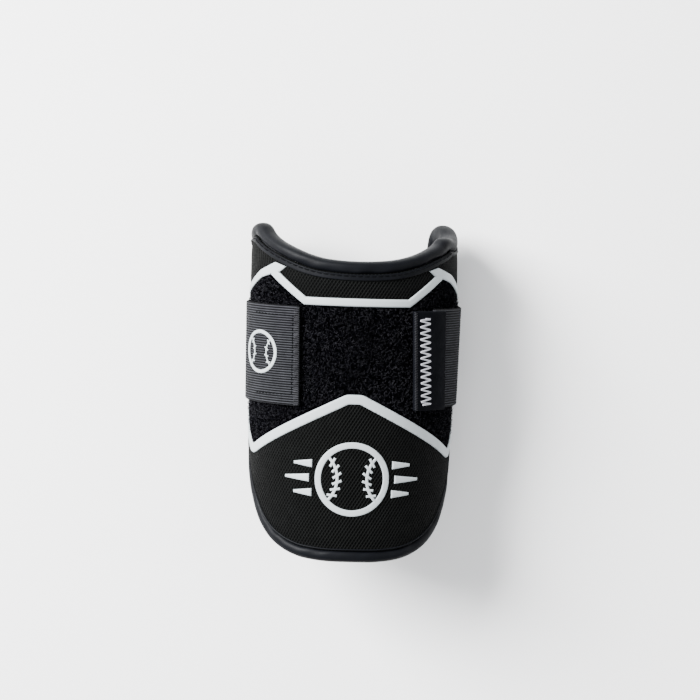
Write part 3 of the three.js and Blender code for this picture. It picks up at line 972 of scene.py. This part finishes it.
def stitches(line: np.ndarray, height: float, length: float, gap: float, radius: float) -> list:
    """A row of stitches on the form: each is a short thread that rises and dips at both ends.

    Args:
        line: points of the flat pattern that the row follows.
        height: the cloth's height over the form.
        length: a stitch's length.
        gap: the space between two stitches.
        radius: the thread's radius.

    Returns:
        One surface for each stitch.
    """
    walked = walked_length(line)
    made = []
    share = np.linspace(0, 1, 7)
    rise = np.sin(np.pi * share) ** 0.5
    for start in np.arange(gap, walked[-1] - length, length + gap):
        at = start + share * length
        girth, along = (np.interp(at, walked, line[:, i]) for i in range(2))
        made.append(wrapped_thread(girth, along, height + radius * (1.3 * rise - 0.9), radius))
    return made


@dataclass(frozen=True)
class EdgeSewing:
    """A row of slanted threads that wrap an edge, each from the face over the edge and down its side.

    A thread starts at its reach from the edge, runs along the edge while it goes past it, and has
    dropped at the end; turn and bend set where it swings out and where it starts to drop.
    """

    pitch: float
    run: float
    reach: float
    past: float
    turn: float
    lift: float
    arch: float
    drop: float
    bend: float
    radius: float
    steps: int

    def row(self, lengths: tuple, edge: Line, sign: int, top: float) -> Surface:
        """The whole row.

        Args:
            lengths: where its first thread starts, and the end of the last one's start.
            edge: function that gives the girth of the edge at each length.
            sign: 1 where the face lies at higher girths than the edge, and -1 where it lies at lower ones.
            top: height of the face over the form.

        Returns:
            The threads as one surface.
        """
        share = np.linspace(0, 1, self.steps)
        inward = self.reach - (self.reach + self.past) * np.sin(share * np.pi / self.turn)
        arch = self.arch * np.sin(np.pi * np.clip(share * 1.4, 0, 1))
        height = top + self.lift + arch - self.drop * smooth_step(self.bend, 1, share)
        threads = []
        for start in np.arange(*lengths, self.pitch):
            along = start + self.run * share
            threads.append(wrapped_thread(edge(along) + sign * inward, along, height, self.radius))
        return Surface.joined(threads)


OVERLOCK = EdgeSewing(pitch=0.95 * MM, run=0.9 * MM, reach=2.3 * MM, past=0.25 * MM, turn=1.25, lift=0.0,
                      arch=0.16 * MM, drop=1.2 * MM, bend=0.62, radius=0.27 * MM, steps=9)
SELVEDGE = EdgeSewing(pitch=0.85 * MM, run=0.5 * MM, reach=0.9 * MM, past=0.15 * MM, turn=1.4,
                      lift=0.1 * MM, arch=0.0, drop=1.3 * MM, bend=0.55, radius=0.2 * MM, steps=7)


def inside(polygon: np.ndarray, points: np.ndarray) -> np.ndarray:
    """Which points lie in a polygon, by counting the edges that a level ray crosses."""
    a, b = polygon, np.roll(polygon, -1, axis=0)
    x, y = points[:, :1], points[:, 1:]
    spans = (a[:, 1] > y) != (b[:, 1] > y)
    slope = np.where(b[:, 1] == a[:, 1], 1.0, b[:, 1] - a[:, 1])
    crossing = a[:, 0] + (y - a[:, 1]) * (b[:, 0] - a[:, 0]) / slope
    return (spans & (x < crossing)).sum(axis=1) % 2 == 1


def distance_to(segments: np.ndarray, points: np.ndarray) -> np.ndarray:
    """Shortest distance from each point to any of a set of segments."""
    a, b = segments[:, 0], segments[:, 1]
    span = b - a
    size = np.maximum((span ** 2).sum(axis=1), 1e-18)
    share = np.clip(((points[:, None] - a) * span).sum(axis=2) / size, 0, 1)
    return np.linalg.norm(points[:, None] - (a + share[..., None] * span), axis=2).min(axis=1)


@dataclass
class Film:
    """A thin printed film with rounded edges, cut to flat outlines and wrapped on the form."""

    base: float
    thickness: float = 0.6 * MM
    edge_radius: float = 0.5 * MM
    mesh_size: float = 0.9 * MM
    sink: float = 0.05 * MM
    holes: list = field(default_factory=list)
    within: list = field(default_factory=list)

    def surface(self, shapes: list) -> Surface:
        """The film over all the shapes together, less the holes and what lies beyond its limits.

        Points on the outlines and a grid inside them are joined by a Delaunay net, and the
        height of each follows its distance from the film's own edge.

        Args:
            shapes: polygons on the flat pattern.

        Returns:
            The closed film.
        """
        flat, triangles = self._net(shapes)
        sides = np.sort(np.concatenate([triangles[:, pair] for pair in ([0, 1], [1, 2], [2, 0])]), axis=1)
        unique, times = np.unique(sides, axis=0, return_counts=True)
        rim = unique[times == 1]
        inner = np.ones(len(flat), dtype=bool)
        inner[np.unique(rim)] = False
        distance = np.where(inner, distance_to(flat[rim], flat), 0)
        height = self.base + self.thickness * rounded(distance, self.edge_radius)
        top = FORM.wrap(flat[:, 0], flat[:, 1], height)
        below = FORM.wrap(flat[inner, 0], flat[inner, 1], self.base - self.sink)
        lower_index = np.arange(len(flat))
        lower_index[inner] = len(flat) + np.arange(inner.sum())
        faces = np.concatenate([triangles, lower_index[triangles][:, ::-1]])
        points = np.concatenate([top, below])
        return Surface(points, faces.tolist(), np.concatenate([flat, flat[inner]])).outward()

    def _net(self, shapes: list) -> tuple[np.ndarray, np.ndarray]:
        """Flat points of the film, and the triangles between them, as indices of three points."""
        loops = [self._split(shape) for shape in [*shapes, *self.holes, *self.within]]
        border = np.concatenate(loops)
        grid = self._inner_points(shapes, border)
        coords = [Vector(p) for p in np.concatenate([border, grid]) / MM]
        edges, start = [], 0
        for loop in loops:
            count = len(loop)
            edges += [(start + i, start + (i + 1) % count) for i in range(count)]
            start += count
        net = delaunay_2d_cdt(coords, edges, [], 0, 1e-5)
        flat = np.array([tuple(v) for v in net[0]]) * MM
        triangles = np.array([tuple(f) for f in net[2]])
        centre = flat[triangles].mean(axis=1)
        triangles = triangles[self._covers(shapes, centre)]
        used, triangles = np.unique(triangles, return_inverse=True)
        return flat[used], triangles.reshape(-1, 3)

    def _split(self, shape: np.ndarray) -> np.ndarray:
        """The outline with extra points, so that no side is longer than the mesh size."""
        parts = []
        for a, b in polygon_sides(shape):
            count = max(1, int(np.ceil(np.linalg.norm(b - a) / self.mesh_size)))
            parts.append(a + (b - a) * np.arange(count)[:, None] / count)
        return np.concatenate(parts)

    def _covers(self, shapes: list, points: np.ndarray) -> np.ndarray:
        """Which points lie in a shape, in no hole and within every limit."""
        covered = np.any([inside(shape, points) for shape in shapes], axis=0)
        for hole in self.holes:
            covered &= ~inside(hole, points)
        for limit in self.within:
            covered &= inside(limit, points)
        return covered

    def _inner_points(self, shapes: list, border: np.ndarray) -> np.ndarray:
        """Grid points in the shapes, clear of the border, with two rings of points near it."""
        low, high = border.min(axis=0), border.max(axis=0)
        x, y = np.meshgrid(*(np.arange(low[i], high[i], self.mesh_size) for i in range(2)))
        x = x + (np.arange(x.shape[0]) % 2)[:, None] * self.mesh_size / 2
        points = np.stack([x.ravel(), y.ravel()], axis=1)
        points = points[self._covers(shapes, points)]
        segments = polygon_sides(border)
        short = segments[np.linalg.norm(segments[:, 0] - segments[:, 1], axis=1) < 1.5 * self.mesh_size]
        points = points[distance_to(short, points) > self.edge_radius + 0.35 * self.mesh_size]
        out = left_of(short[:, 1] - short[:, 0])
        middle = short.mean(axis=1)
        rings = []
        for reach in (self.edge_radius * 0.35, self.edge_radius):
            for sign in (-1, 1):
                ring = middle + sign * reach * out
                rings.append(ring[self._covers(shapes, ring) & (distance_to(short, ring) > reach * 0.93)])
        return np.concatenate([points, *rings])


def band(line: np.ndarray, width: float) -> np.ndarray:
    """The outline of a band of even width along a line, with mitred corners."""
    left = left_of(np.diff(line, axis=0))
    before, after = np.concatenate([left[:1], left]), np.concatenate([left, left[-1:]])
    mitre = unit(before + after)
    reach = width / 2 / (mitre * after).sum(axis=1, keepdims=True)
    return np.concatenate([line + mitre * reach, (line - mitre * reach)[::-1]])


def both_sides(line: np.ndarray) -> np.ndarray:
    """A line that starts on the front line, carried on as its mirror image."""
    return np.concatenate([line[:0:-1] * [-1, 1], line])


def eased_corners(line: np.ndarray, radius: float) -> np.ndarray:
    """A line whose inner corners are cut by short arcs of three steps each."""
    parts = [line[:1]]
    for a, b, c in zip(line, line[1:], line[2:]):
        back, on = a - b, c - b
        cut = min(radius, np.linalg.norm(back) / 3, np.linalg.norm(on) / 3)
        p, q = b + unit(back) * cut, b + unit(on) * cut
        t = np.linspace(0, 1, 4)[:, None]
        parts.append((1 - t) ** 2 * p + 2 * t * (1 - t) * b + t ** 2 * q)
    return np.concatenate([*parts, line[-1:]])


@dataclass
class Stripes:
    """The two white stripes that border the loop field."""

    lower_width: float = 5.0 * MM
    corner_radius: float = 4 * MM
    rear_inset: float = 6.6 * MM
    upper_edge: tuple = ((25.9, 51.3), (41.6, 62.9), (37.2, 65.9), (43.7, 68.0), (55.6, 63.6), (65.8, 57.7),
                         (75.8, 53.4), (95.0, 47.4))
    lower_edge: tuple = ((95.0, 43.4), (75.8, 49.4), (63.1, 55.3), (54.8, 59.6), (47.4, 61.6), (26.8, 47.2))

    def upper_shape(self) -> np.ndarray:
        """Outline of the upper stripe: out along its upper edge, back below, and the mirror image."""
        right = np.array(self.upper_edge + self.lower_edge) * MM + [0, AIM_ALONG]
        return np.concatenate([right, right[::-1] * [-1, 1]])

    def lower_shape(self) -> np.ndarray:
        """Outline of the lower stripe: a band of one width with eased corners."""
        return band(eased_corners(both_sides(STRIPES.lower()), self.corner_radius), self.lower_width)

    def build(self) -> None:
        """Builds the upper and the lower stripe, cut off along the roll."""
        limit = OUTLINE.inset_loop(self.rear_inset)
        film = Film(base=FORM.face + 0.15 * MM, thickness=0.55 * MM, edge_radius=0.3 * MM, within=[limit])
        for side, shape in (("upper", self.upper_shape()), ("lower", self.lower_shape())):
            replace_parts(film.surface([shape]).build(f"{side}_stripe", TRIM_FILM), f"{side}_trim")


@dataclass
class Motif:
    """A plain printed motif: a stitched ball, alone or between tapering bars."""

    middle: float = 0.0
    centre: float = -43.5 * MM
    radius: float = 19 * MM
    line_width: float = 3.2 * MM
    seam_radius: float = 15.5 * MM
    seam_offset: float = 23 * MM
    seam_width: float = 1.5 * MM
    tick_length: float = 5.2 * MM
    tick_lean_deg: float = 28
    tick_count: int = 6
    seam_spread: float = np.radians(47)
    bar_width: float = 4.2 * MM
    bar_gap: float = 3.2 * MM
    bar_length: float = 13.5 * MM
    bar_start: float = 3.0 * MM
    bar_step: float = 3.5 * MM

    def ring(self, radius: float, count: int = 96) -> np.ndarray:
        """A circle round the motif's centre."""
        turn = 2 * np.pi * np.arange(count) / count
        return np.stack([self.middle + radius * np.cos(turn), self.centre + radius * np.sin(turn)], axis=1)

    def seam(self, sign: float) -> list:
        """One curved seam of the ball, with leaning stitches across it."""
        middle = np.array([self.middle + sign * self.seam_offset, self.centre])
        lean = np.radians(self.tick_lean_deg)

        def facing(turn: np.ndarray) -> np.ndarray:
            """Directions from the seam's own centre towards the ball's middle, turned by angles."""
            return np.stack([-sign * np.cos(turn), np.sin(turn)], axis=-1)

        turn = np.linspace(-self.seam_spread, self.seam_spread, 33)
        shapes = [band(middle + self.seam_radius * facing(turn), self.seam_width)]
        for at in np.linspace(-self.seam_spread * 0.7, self.seam_spread * 0.7, self.tick_count):
            place = middle + self.seam_radius * facing(at)
            half = facing(at + lean) * self.tick_length / 2
            shapes.append(band(np.array([place - half, place + half]), self.seam_width * 0.9))
        return shapes

    def bars(self, sign: float) -> list:
        """Three bars beside the ball that taper outwards, the middle one longest."""
        shapes = []
        for row in (-1, 0, 1):
            y = self.centre + row * (self.bar_width + self.bar_gap)
            start = sign * (np.sqrt(self.radius ** 2 - (y - self.centre) ** 2) + self.bar_start)
            end = start + sign * (self.bar_length - self.bar_step * abs(row))
            root, tip = self.bar_width / 2, self.bar_width / 6
            shapes.append(np.array([[start, y - root], [end, y - tip], [end, y + tip], [start, y + root]]))
        return shapes

    def build(self) -> None:
        """Builds the motif on the lower panel's crown, and a small ball on the strap's left end."""
        self.film("front_motif", FORM.face + ShellWall.crown + 0.06 * MM, True)
        small = Motif(middle=-51.0 * MM, centre=19.0 * MM, radius=11.2 * MM, line_width=1.9 * MM,
                      seam_radius=9.4 * MM, seam_offset=13.8 * MM, seam_width=0.85 * MM, tick_length=2.9 * MM,
                      tick_count=4)
        small.film("strap_motif", Strap().top() + 0.04 * MM, False)

    def film(self, name: str, base: float, with_bars: bool) -> None:
        """Builds the ball as one film, with or without the bars beside it.

        Args:
            name: the piece's name.
            base: height of the cloth under it over the form.
            with_bars: whether the tapering bars are printed too.
        """
        film = Film(base=base, thickness=0.35 * MM, edge_radius=0.25 * MM, mesh_size=0.7 * MM)
        hoop = replace(film, holes=[self.ring(self.radius - self.line_width)])
        parts = [hoop.surface([self.ring(self.radius)])]
        for sign in (-1, 1):
            parts.append(film.surface(self.seam(sign)))
            if with_bars:
                parts += [film.surface([shape]) for shape in self.bars(sign)]
        Surface.joined(parts).build(name, TRIM_FILM)


@dataclass
class Strap:
    """The elastic strap, its ends in front, and what is sewn and printed on them."""

    width: float = 50.8 * MM
    left_end: float = 28 * MM
    left_slant: float = 0.015
    right_end: float = 28.9 * MM
    right_slant: float = 0.05
    cover_length: float = 18.8 * MM
    cover_lap: float = 7 * MM
    cover_thickness: float = 0.9 * MM
    cover_drop: float = 1.0 * MM
    hook_thickness: float = 1.0 * MM
    hook_length: float = 30 * MM
    hook_margin: float = 3 * MM
    draw_in: float = 1.1 * MM
    draw_span: tuple = (60 * MM, 78 * MM)
    thread_radius: float = 0.24 * MM
    flank_steps: int = 60
    turn_steps: int = 14
    flat_steps: int = 30
    width_steps: int = 204
    rib_pitch: float = 1.25 * MM
    rib_relief: float = 0.13 * MM
    selvedge_width: float = 0.9 * MM
    zigzag_pitch: float = 3.0 * MM
    zigzag_swing: float = 2.75 * MM
    zigzag_radius: float = 0.43 * MM
    zigzag_middle: float = 34.3 * MM
    zigzag_ends: tuple = (41.8 * MM, -2.2 * MM)
    zigzag_tack: float = 0.045

    def low(self) -> float:
        """Length of the strap's lower selvedge on the pattern."""
        return FORM.strap_middle - self.width / 2

    def high(self) -> float:
        """Length of its upper selvedge."""
        return self.low() + self.width

    def drift(self, along: np.ndarray) -> np.ndarray:
        """How far the slant of the right end moves it at a length."""
        return self.right_slant * (along - FORM.strap_middle)

    def left_line(self, along: np.ndarray) -> np.ndarray:
        """Girth of the strap's left end, which slants a little."""
        return self.left_end + self.left_slant * (along - FORM.strap_middle)

    def bottom(self) -> float:
        """Height of the strap's inner face over the form."""
        return FORM.face + 2 * FORM.gap + self.hook_thickness

    def top(self) -> float:
        """Height of its outer face."""
        return self.bottom() + FORM.strap_thickness

    def side(self, sign: int, end: np.ndarray, along: np.ndarray, height: np.ndarray) -> np.ndarray:
        """One side of the strap: down the flank, then round an arc under the shell's back edge.

        Args:
            sign: -1 on the left and 1 on the right.
            end: girth where the strap starts in front, for each column.
            along: lengths of the columns.
            height: height over the form, rows by columns or one value.

        Returns:
            Points, rows by columns by three, from the front to the floor.
        """
        turn_girth = FORM.wrap_half_girth - FORM.binding_width / 2
        share = np.linspace(0, 1, self.flank_steps)[:, None]
        girth = end[None, :] + (turn_girth - end[None, :]) * share
        drawn = self.draw_in * smooth_step(*self.draw_span, girth)
        flank = FORM.wrap(sign * girth, along[None, :], height - drawn)
        centre = FORM.wrap(sign * turn_girth, along, FORM.binding_middle())
        start = flank[-1] - centre
        first = np.arctan2(start[:, 2], sign * start[:, 0])
        first_radius = np.hypot(start[:, 0], start[:, 2])
        last_radius = centre[:, 2] + height - self.top()
        share = np.linspace(0, 1, self.turn_steps + 1)[1:, None]
        turn = first + (-np.pi / 2 - first) * share
        radius = first_radius + (last_radius - first_radius) * share
        x = centre[:, 0] + sign * radius * np.cos(turn)
        z = centre[:, 2] + radius * np.sin(turn)
        arc = np.stack([x, np.broadcast_to(along, x.shape), z], axis=-1)
        return np.concatenate([flank, arc])

    def section(self, along: np.ndarray, height: float) -> np.ndarray:
        """The whole strap at one height: left side, flat back, right side."""
        right_end = self.right_end + self.cover_length - self.cover_lap + FORM.gap - self.drift(along)
        left = self.side(-1, self.left_line(along), along, height)
        right = self.side(1, right_end, along, height)[::-1]
        share = np.linspace(0, 1, self.flat_steps + 1)[1:-1, None, None]
        back = left[-1] + (right[0] - left[-1]) * share
        return np.concatenate([left, back, right])

    def band(self) -> None:
        """The elastic band: sine ribs along its outer face, and thinner at its two selvedges."""
        along = np.linspace(self.low(), self.high(), self.width_steps)
        border = np.minimum(along - along[0], along[-1] - along)
        thin = (1 - rounded(border, self.selvedge_width)) * FORM.strap_thickness * 0.42
        furrow = self.rib_relief * (1 - np.sin(2 * np.pi * along / self.rib_pitch)) / 2
        top, bottom = self.section(along, self.top()), self.section(along, self.bottom())
        inward = (bottom - top) / FORM.strap_thickness
        top = top + inward * (thin + furrow)[None, :, None]
        bottom = bottom - inward * thin[None, :, None]
        walked = walked_length(top[:, self.width_steps // 2])
        flat = flat_grid(walked[:, None], along[None, :])
        strap = Surface.slab(top, bottom, flat).outward().build("strap_elastic", ELASTIC)
        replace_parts(strap, "elastic_strap")

    def patch(self, girths: tuple, lengths: tuple, bottom: float, top: float, slanted: bool = False,
              edge: float = 0.5 * MM, crown: float = 0.0) -> Surface:
        """A patch on the flank with rounded edges.

        Args:
            girths: where it starts and ends, lower value first.
            lengths: its lower and its upper selvedge.
            bottom: height of its inner face over the form.
            top: height of its outer face.
            slanted: whether it follows the slant of the right end.
            edge: radius of its edges.
            crown: how far its face swells between them.

        Returns:
            The patch.
        """
        girth = edge_spaced(*girths, 90)[:, None]
        along = edge_spaced(*lengths, 70)[None, :]
        beside = np.minimum(girth - girths[0], girths[1] - girth)
        border = np.minimum(beside, np.minimum(along - lengths[0], lengths[1] - along))
        height = bottom + (top - bottom) * rounded(border + 0.02 * MM, edge)
        height = height + crown * smooth_step(0, 5 * MM, border)
        return wrapped_slab(girth - self.drift(along) * slanted, along, height, bottom)

    def build(self) -> None:
        """Builds the strap, the hook patches, the cover, and the sewing on both ends."""
        self.band()
        bottom = FORM.face + FORM.gap
        lengths = (self.low() + self.hook_margin, self.high() - self.hook_margin)
        for side, sign, end in (("left", -1, self.left_end), ("right", 1, self.right_end)):
            near = end + self.hook_margin
            girths = tuple(sorted((sign * near, sign * (near + self.hook_length))))
            surface = self.patch(girths, lengths, bottom, bottom + self.hook_thickness)
            piece = surface.build(f"hook_{side}", HOOK)
            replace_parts(piece, f"{side}_hook_patch")
        self.cover()
        self.left_sewing()

    def cover(self) -> None:
        """The dark cover on the right end, its fold line, and the white zigzag through it."""
        lengths = (self.low() - self.cover_drop, self.high() - self.cover_drop)
        bottom = self.top() + FORM.gap
        top = bottom + self.cover_thickness
        far = self.right_end + self.cover_length
        under = self.patch((self.right_end, far - self.cover_lap), lengths, self.bottom(), top, True,
                           0.9 * MM)
        face = self.patch((self.right_end, far), lengths, bottom, top + 0.02 * MM, True, 0.6 * MM,
                          0.15 * MM)
        piece = Surface.joined([under, face]).build("strap_cover", COVER)
        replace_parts(piece, "right_strap_cover")
        self.selvedge(top)
        self.zigzag(top + 0.25 * MM)

    def selvedge(self, top: float) -> None:
        """Short slanted threads that bind the cover's front edge."""
        low = self.low() - self.cover_drop
        lengths = (low + 0.4 * MM, low + self.width - 0.9 * MM)
        row = SELVEDGE.row(lengths, lambda along: self.right_end - self.drift(along), 1, top)
        row.build("cover_selvedge", GREY_THREAD)

    def zigzag(self, height: float) -> None:
        """White zigzag sewing: a rounded wave down the cover, closed up into a tack at both ends."""
        start, end = self.zigzag_ends
        cycles = (start - end) / self.zigzag_pitch
        phase = np.linspace(0, 1, int(cycles * 26))
        tack = self.zigzag_tack
        paces = np.array([0.35 * tack, 1 - 2 * tack, 0.35 * tack])
        walked = np.interp(phase, (0, tack, 1 - tack, 1), (0, *np.cumsum(paces))) / paces.sum()
        along = start + AIM_ALONG + (end - start) * walked
        wave = np.arcsin(0.97 * np.sin(2 * np.pi * phase * cycles)) / np.arcsin(0.97)
        girth = self.zigzag_middle + self.zigzag_swing * wave - 1.2 * self.drift(along)
        thread = wrapped_thread(girth, along, height, self.zigzag_radius, False, 10, 0.75)
        thread.build("zigzag_thread", WHITE_THREAD)

    def left_sewing(self) -> None:
        """Dark stitch rows round the left end: along the top and bottom, and down its end."""
        edge, far = self.left_end + 3.2 * MM, self.left_end + 28 * MM
        low, high = self.low(), self.high()
        corners = np.array([[-far, high - 4.6 * MM], [-edge, high - 5.2 * MM], [-edge, low + 5.6 * MM],
                            [-far, low + 5.0 * MM]])
        rows = stitches(resample(corners, 400), self.top(), 1.5 * MM, 0.8 * MM, self.thread_radius)
        Surface.joined(rows).build("end_stitches", DARK_THREAD)
        self.overlock()

    def overlock(self) -> None:
        """Slanted grey threads that wrap the raw left end, each from its face over its edge."""
        lengths = (self.low() + 0.5 * MM, self.high() - 1.6 * MM)
        row = OVERLOCK.row(lengths, lambda along: -self.left_line(along), -1, self.top())
        row.build("end_overlock", GREY_THREAD)


@dataclass
class LoopPile:
    """Small loops of fibre that stand on the loop field."""

    count: int = 7600
    height: float = 0.95 * MM
    spread: float = 1.25 * MM
    radius: float = 0.08 * MM
    stripe_margin: float = 0.95 * MM
    roll_inset: float = 7.5 * MM
    lower_margin: float = 2.2 * MM
    upper_margin: float = 2 * MM
    lengths: tuple = (-40 * MM, 65 * MM)
    height_shares: tuple = (0.35, 1.0)
    spread_shares: tuple = (0.5, 1.1)
    lean: float = 0.5 * MM
    arc_points: int = 5
    sides: int = 3
    seed: int = 7

    def clear(self, points: np.ndarray) -> np.ndarray:
        """Which points lie far enough from both white stripes for a loop to stand there."""
        stripes = Stripes()
        free = np.ones(len(points), dtype=bool)
        for shape in (stripes.upper_shape(), stripes.lower_shape()):
            near = distance_to(polygon_sides(shape), points) <= self.stripe_margin
            free &= ~inside(shape, points) & ~near
        return free

    def build(self) -> None:
        """Scatters loops over the field, each a three-sided arc of thread, worked out together."""
        rng = np.random.default_rng(self.seed)
        rim = OUTLINE.edges(self.roll_inset)
        girth = rng.uniform(-rim.reach(), rim.reach(), self.count * 2)
        along = rng.uniform(*self.lengths, self.count * 2)
        low = np.maximum(STRIPES.lower_at(girth), rim.low(girth)) + self.lower_margin
        high = STRIPES.upper_at(girth) - self.upper_margin
        keep = (along > low) & (along < high) & self.clear(np.stack([girth, along], axis=1))
        girth, along = girth[keep][:self.count], along[keep][:self.count]
        count = len(girth)
        heading = rng.uniform(0, 2 * np.pi, count)
        lean = rng.uniform(-self.lean, self.lean, count)
        tall = self.height * rng.uniform(*self.height_shares, count)
        wide = self.spread * rng.uniform(*self.spread_shares, count)
        arc = np.linspace(0, np.pi, self.arc_points)
        run, rise = -np.cos(arc)[None, :] / 2, np.sin(arc)[None, :]
        g = girth[:, None] + wide[:, None] * run * np.cos(heading)[:, None] + lean[:, None] * rise * 0.6
        y = along[:, None] + wide[:, None] * run * np.sin(heading)[:, None] + lean[:, None] * rise
        path = FORM.wrap(g, y, FORM.face + 0.25 * MM + tall[:, None] * rise)
        side = np.stack([-np.sin(heading), np.cos(heading), np.zeros(count)], axis=1)[:, None]
        lift = np.cross(np.broadcast_to(side, path.shape), unit(np.gradient(path, axis=1)))
        turn = 2 * np.pi * np.arange(self.sides)[None, None, :, None] / self.sides
        ring = self.radius * (side[:, :, None] * np.cos(turn) + lift[:, :, None] * np.sin(turn))
        points = self.arc_points * self.sides
        starts = points * np.arange(count)[:, None, None]
        quads = grid_quads(self.arc_points, self.sides, False, True)
        first = np.arange(self.sides)
        caps = np.array([first[::-1], points - self.sides + first])
        faces = (quads[None] + starts).reshape(-1, 4).tolist()
        faces += (caps[None] + starts).reshape(-1, self.sides).tolist()
        flat = np.repeat(np.stack([g, y], axis=-1).reshape(-1, 2), self.sides, axis=0)
        Surface((path[:, :, None] + ring).reshape(-1, 3), faces, flat).build("loop_pile", LOOP_FIBRE)


@dataclass
class Studio:
    """A pale floor, soft lights and the camera at the photograph's angle."""

    frame_pixels: int = 700
    focal_pixels: float = 2490
    distance: float = 1.3
    beyond_collar: float = 0.1145
    across: float = -0.0004
    tilt_deg: float = 4.07
    yaw_deg: float = 2.47
    roll_deg: float = -1.84
    lights: tuple = (("key", (-1.2, 0.7, 0.95), 0.9, 190), ("fill", (1.2, 0.2, 0.7), 1.2, 7),
                     ("front", (-0.3, -0.9, 1.6), 1.2, 9))
    aim_height: float = 0.03
    air_tone: tuple = (0.95, 0.97, 1.0, 1)
    air_strength: float = 0.95
    floor_reach: float = 6.0
    floor_tones: tuple = ((0.9, 0.9, 0.9, 1), (0.93, 0.93, 0.93, 1))

    def camera(self) -> None:
        """Places the camera over the guard, leaning towards the collar as the photograph does."""
        yaw, roll = np.radians(self.yaw_deg), np.radians(self.roll_deg)
        turned = Matrix.Rotation(roll, 3, "Z") @ Matrix.Rotation(yaw, 3, "Y")
        back = turned.transposed()
        place = back @ Vector((self.across, self.beyond_collar, self.distance))
        tilt = Matrix.Rotation(-np.radians(self.tilt_deg), 3, "X")
        data = bpy.data.cameras.new("photo_camera")
        data.sensor_width = 36
        data.lens = data.sensor_width * self.focal_pixels / self.frame_pixels
        camera = add_object("photo_camera", data)
        offset = Vector((0, AIM_ALONG, FORM.axis_height()))
        camera.matrix_world = Matrix.Translation(place + offset) @ (back @ tilt).to_4x4()
        bpy.context.scene.camera = camera

    def light(self, name: str, place: tuple, size: float, power: float) -> None:
        """A square soft light that faces the guard."""
        data = bpy.data.lights.new(name, "AREA")
        data.size, data.energy = size, power
        lamp = add_object(name, data)
        lamp.location = place
        towards = Vector((0, 0, self.aim_height)) - Vector(place)
        lamp.rotation_euler = towards.to_track_quat("-Z", "Y").to_euler()

    def build(self) -> None:
        """Builds the floor, the lights, the surroundings and the camera."""
        self.camera()
        for lamp in self.lights:
            self.light(*lamp)
        world = bpy.data.worlds.new("pale_room")
        world.use_nodes = True
        air = world.node_tree.nodes["Background"].inputs
        air["Color"].default_value = self.air_tone
        air["Strength"].default_value = self.air_strength
        bpy.context.scene.world = world
        self.floor()

    def floor(self) -> None:
        """A wide pale floor with a very faint tone."""
        mesh = bpy.data.meshes.new("floor")
        signs = ((-1, -1), (1, -1), (1, 1), (-1, 1))
        corners = [(x * self.floor_reach, y * self.floor_reach, 0) for x, y in signs]
        mesh.from_pydata(corners, [], [(0, 1, 2, 3)])
        material = bpy.data.materials.new("pale_floor")
        material.use_nodes = True
        nodes = Nodes(material.node_tree)
        shader = material.node_tree.nodes["Principled BSDF"]
        shader.inputs["Roughness"].default_value = 0.9
        place = nodes.add("ShaderNodeTexCoord")
        noise = nodes.noise(place.outputs["Object"], 3.0)
        first, second = self.floor_tones
        tone = nodes.add("ShaderNodeMix", {"Factor": noise, "A": first, "B": second}, data_type="RGBA")
        material.node_tree.links.new(tone.outputs["Result"], shader.inputs["Base Color"])
        mesh.materials.append(material)
        add_object("floor", mesh)


def main() -> None:
    """Builds the guard piece by piece, then the studio round it."""
    logging.basicConfig(level=logging.INFO, format="%(name)s %(message)s")
    for part in (ShellWall(), Rim(), Stripes(), Motif(), Strap(), LoopPile(), Studio()):
        part.build()
        LOG.info("built %s", type(part).__name__)
    bpy.context.view_layer.update()


if __name__ == "__main__":
    main()
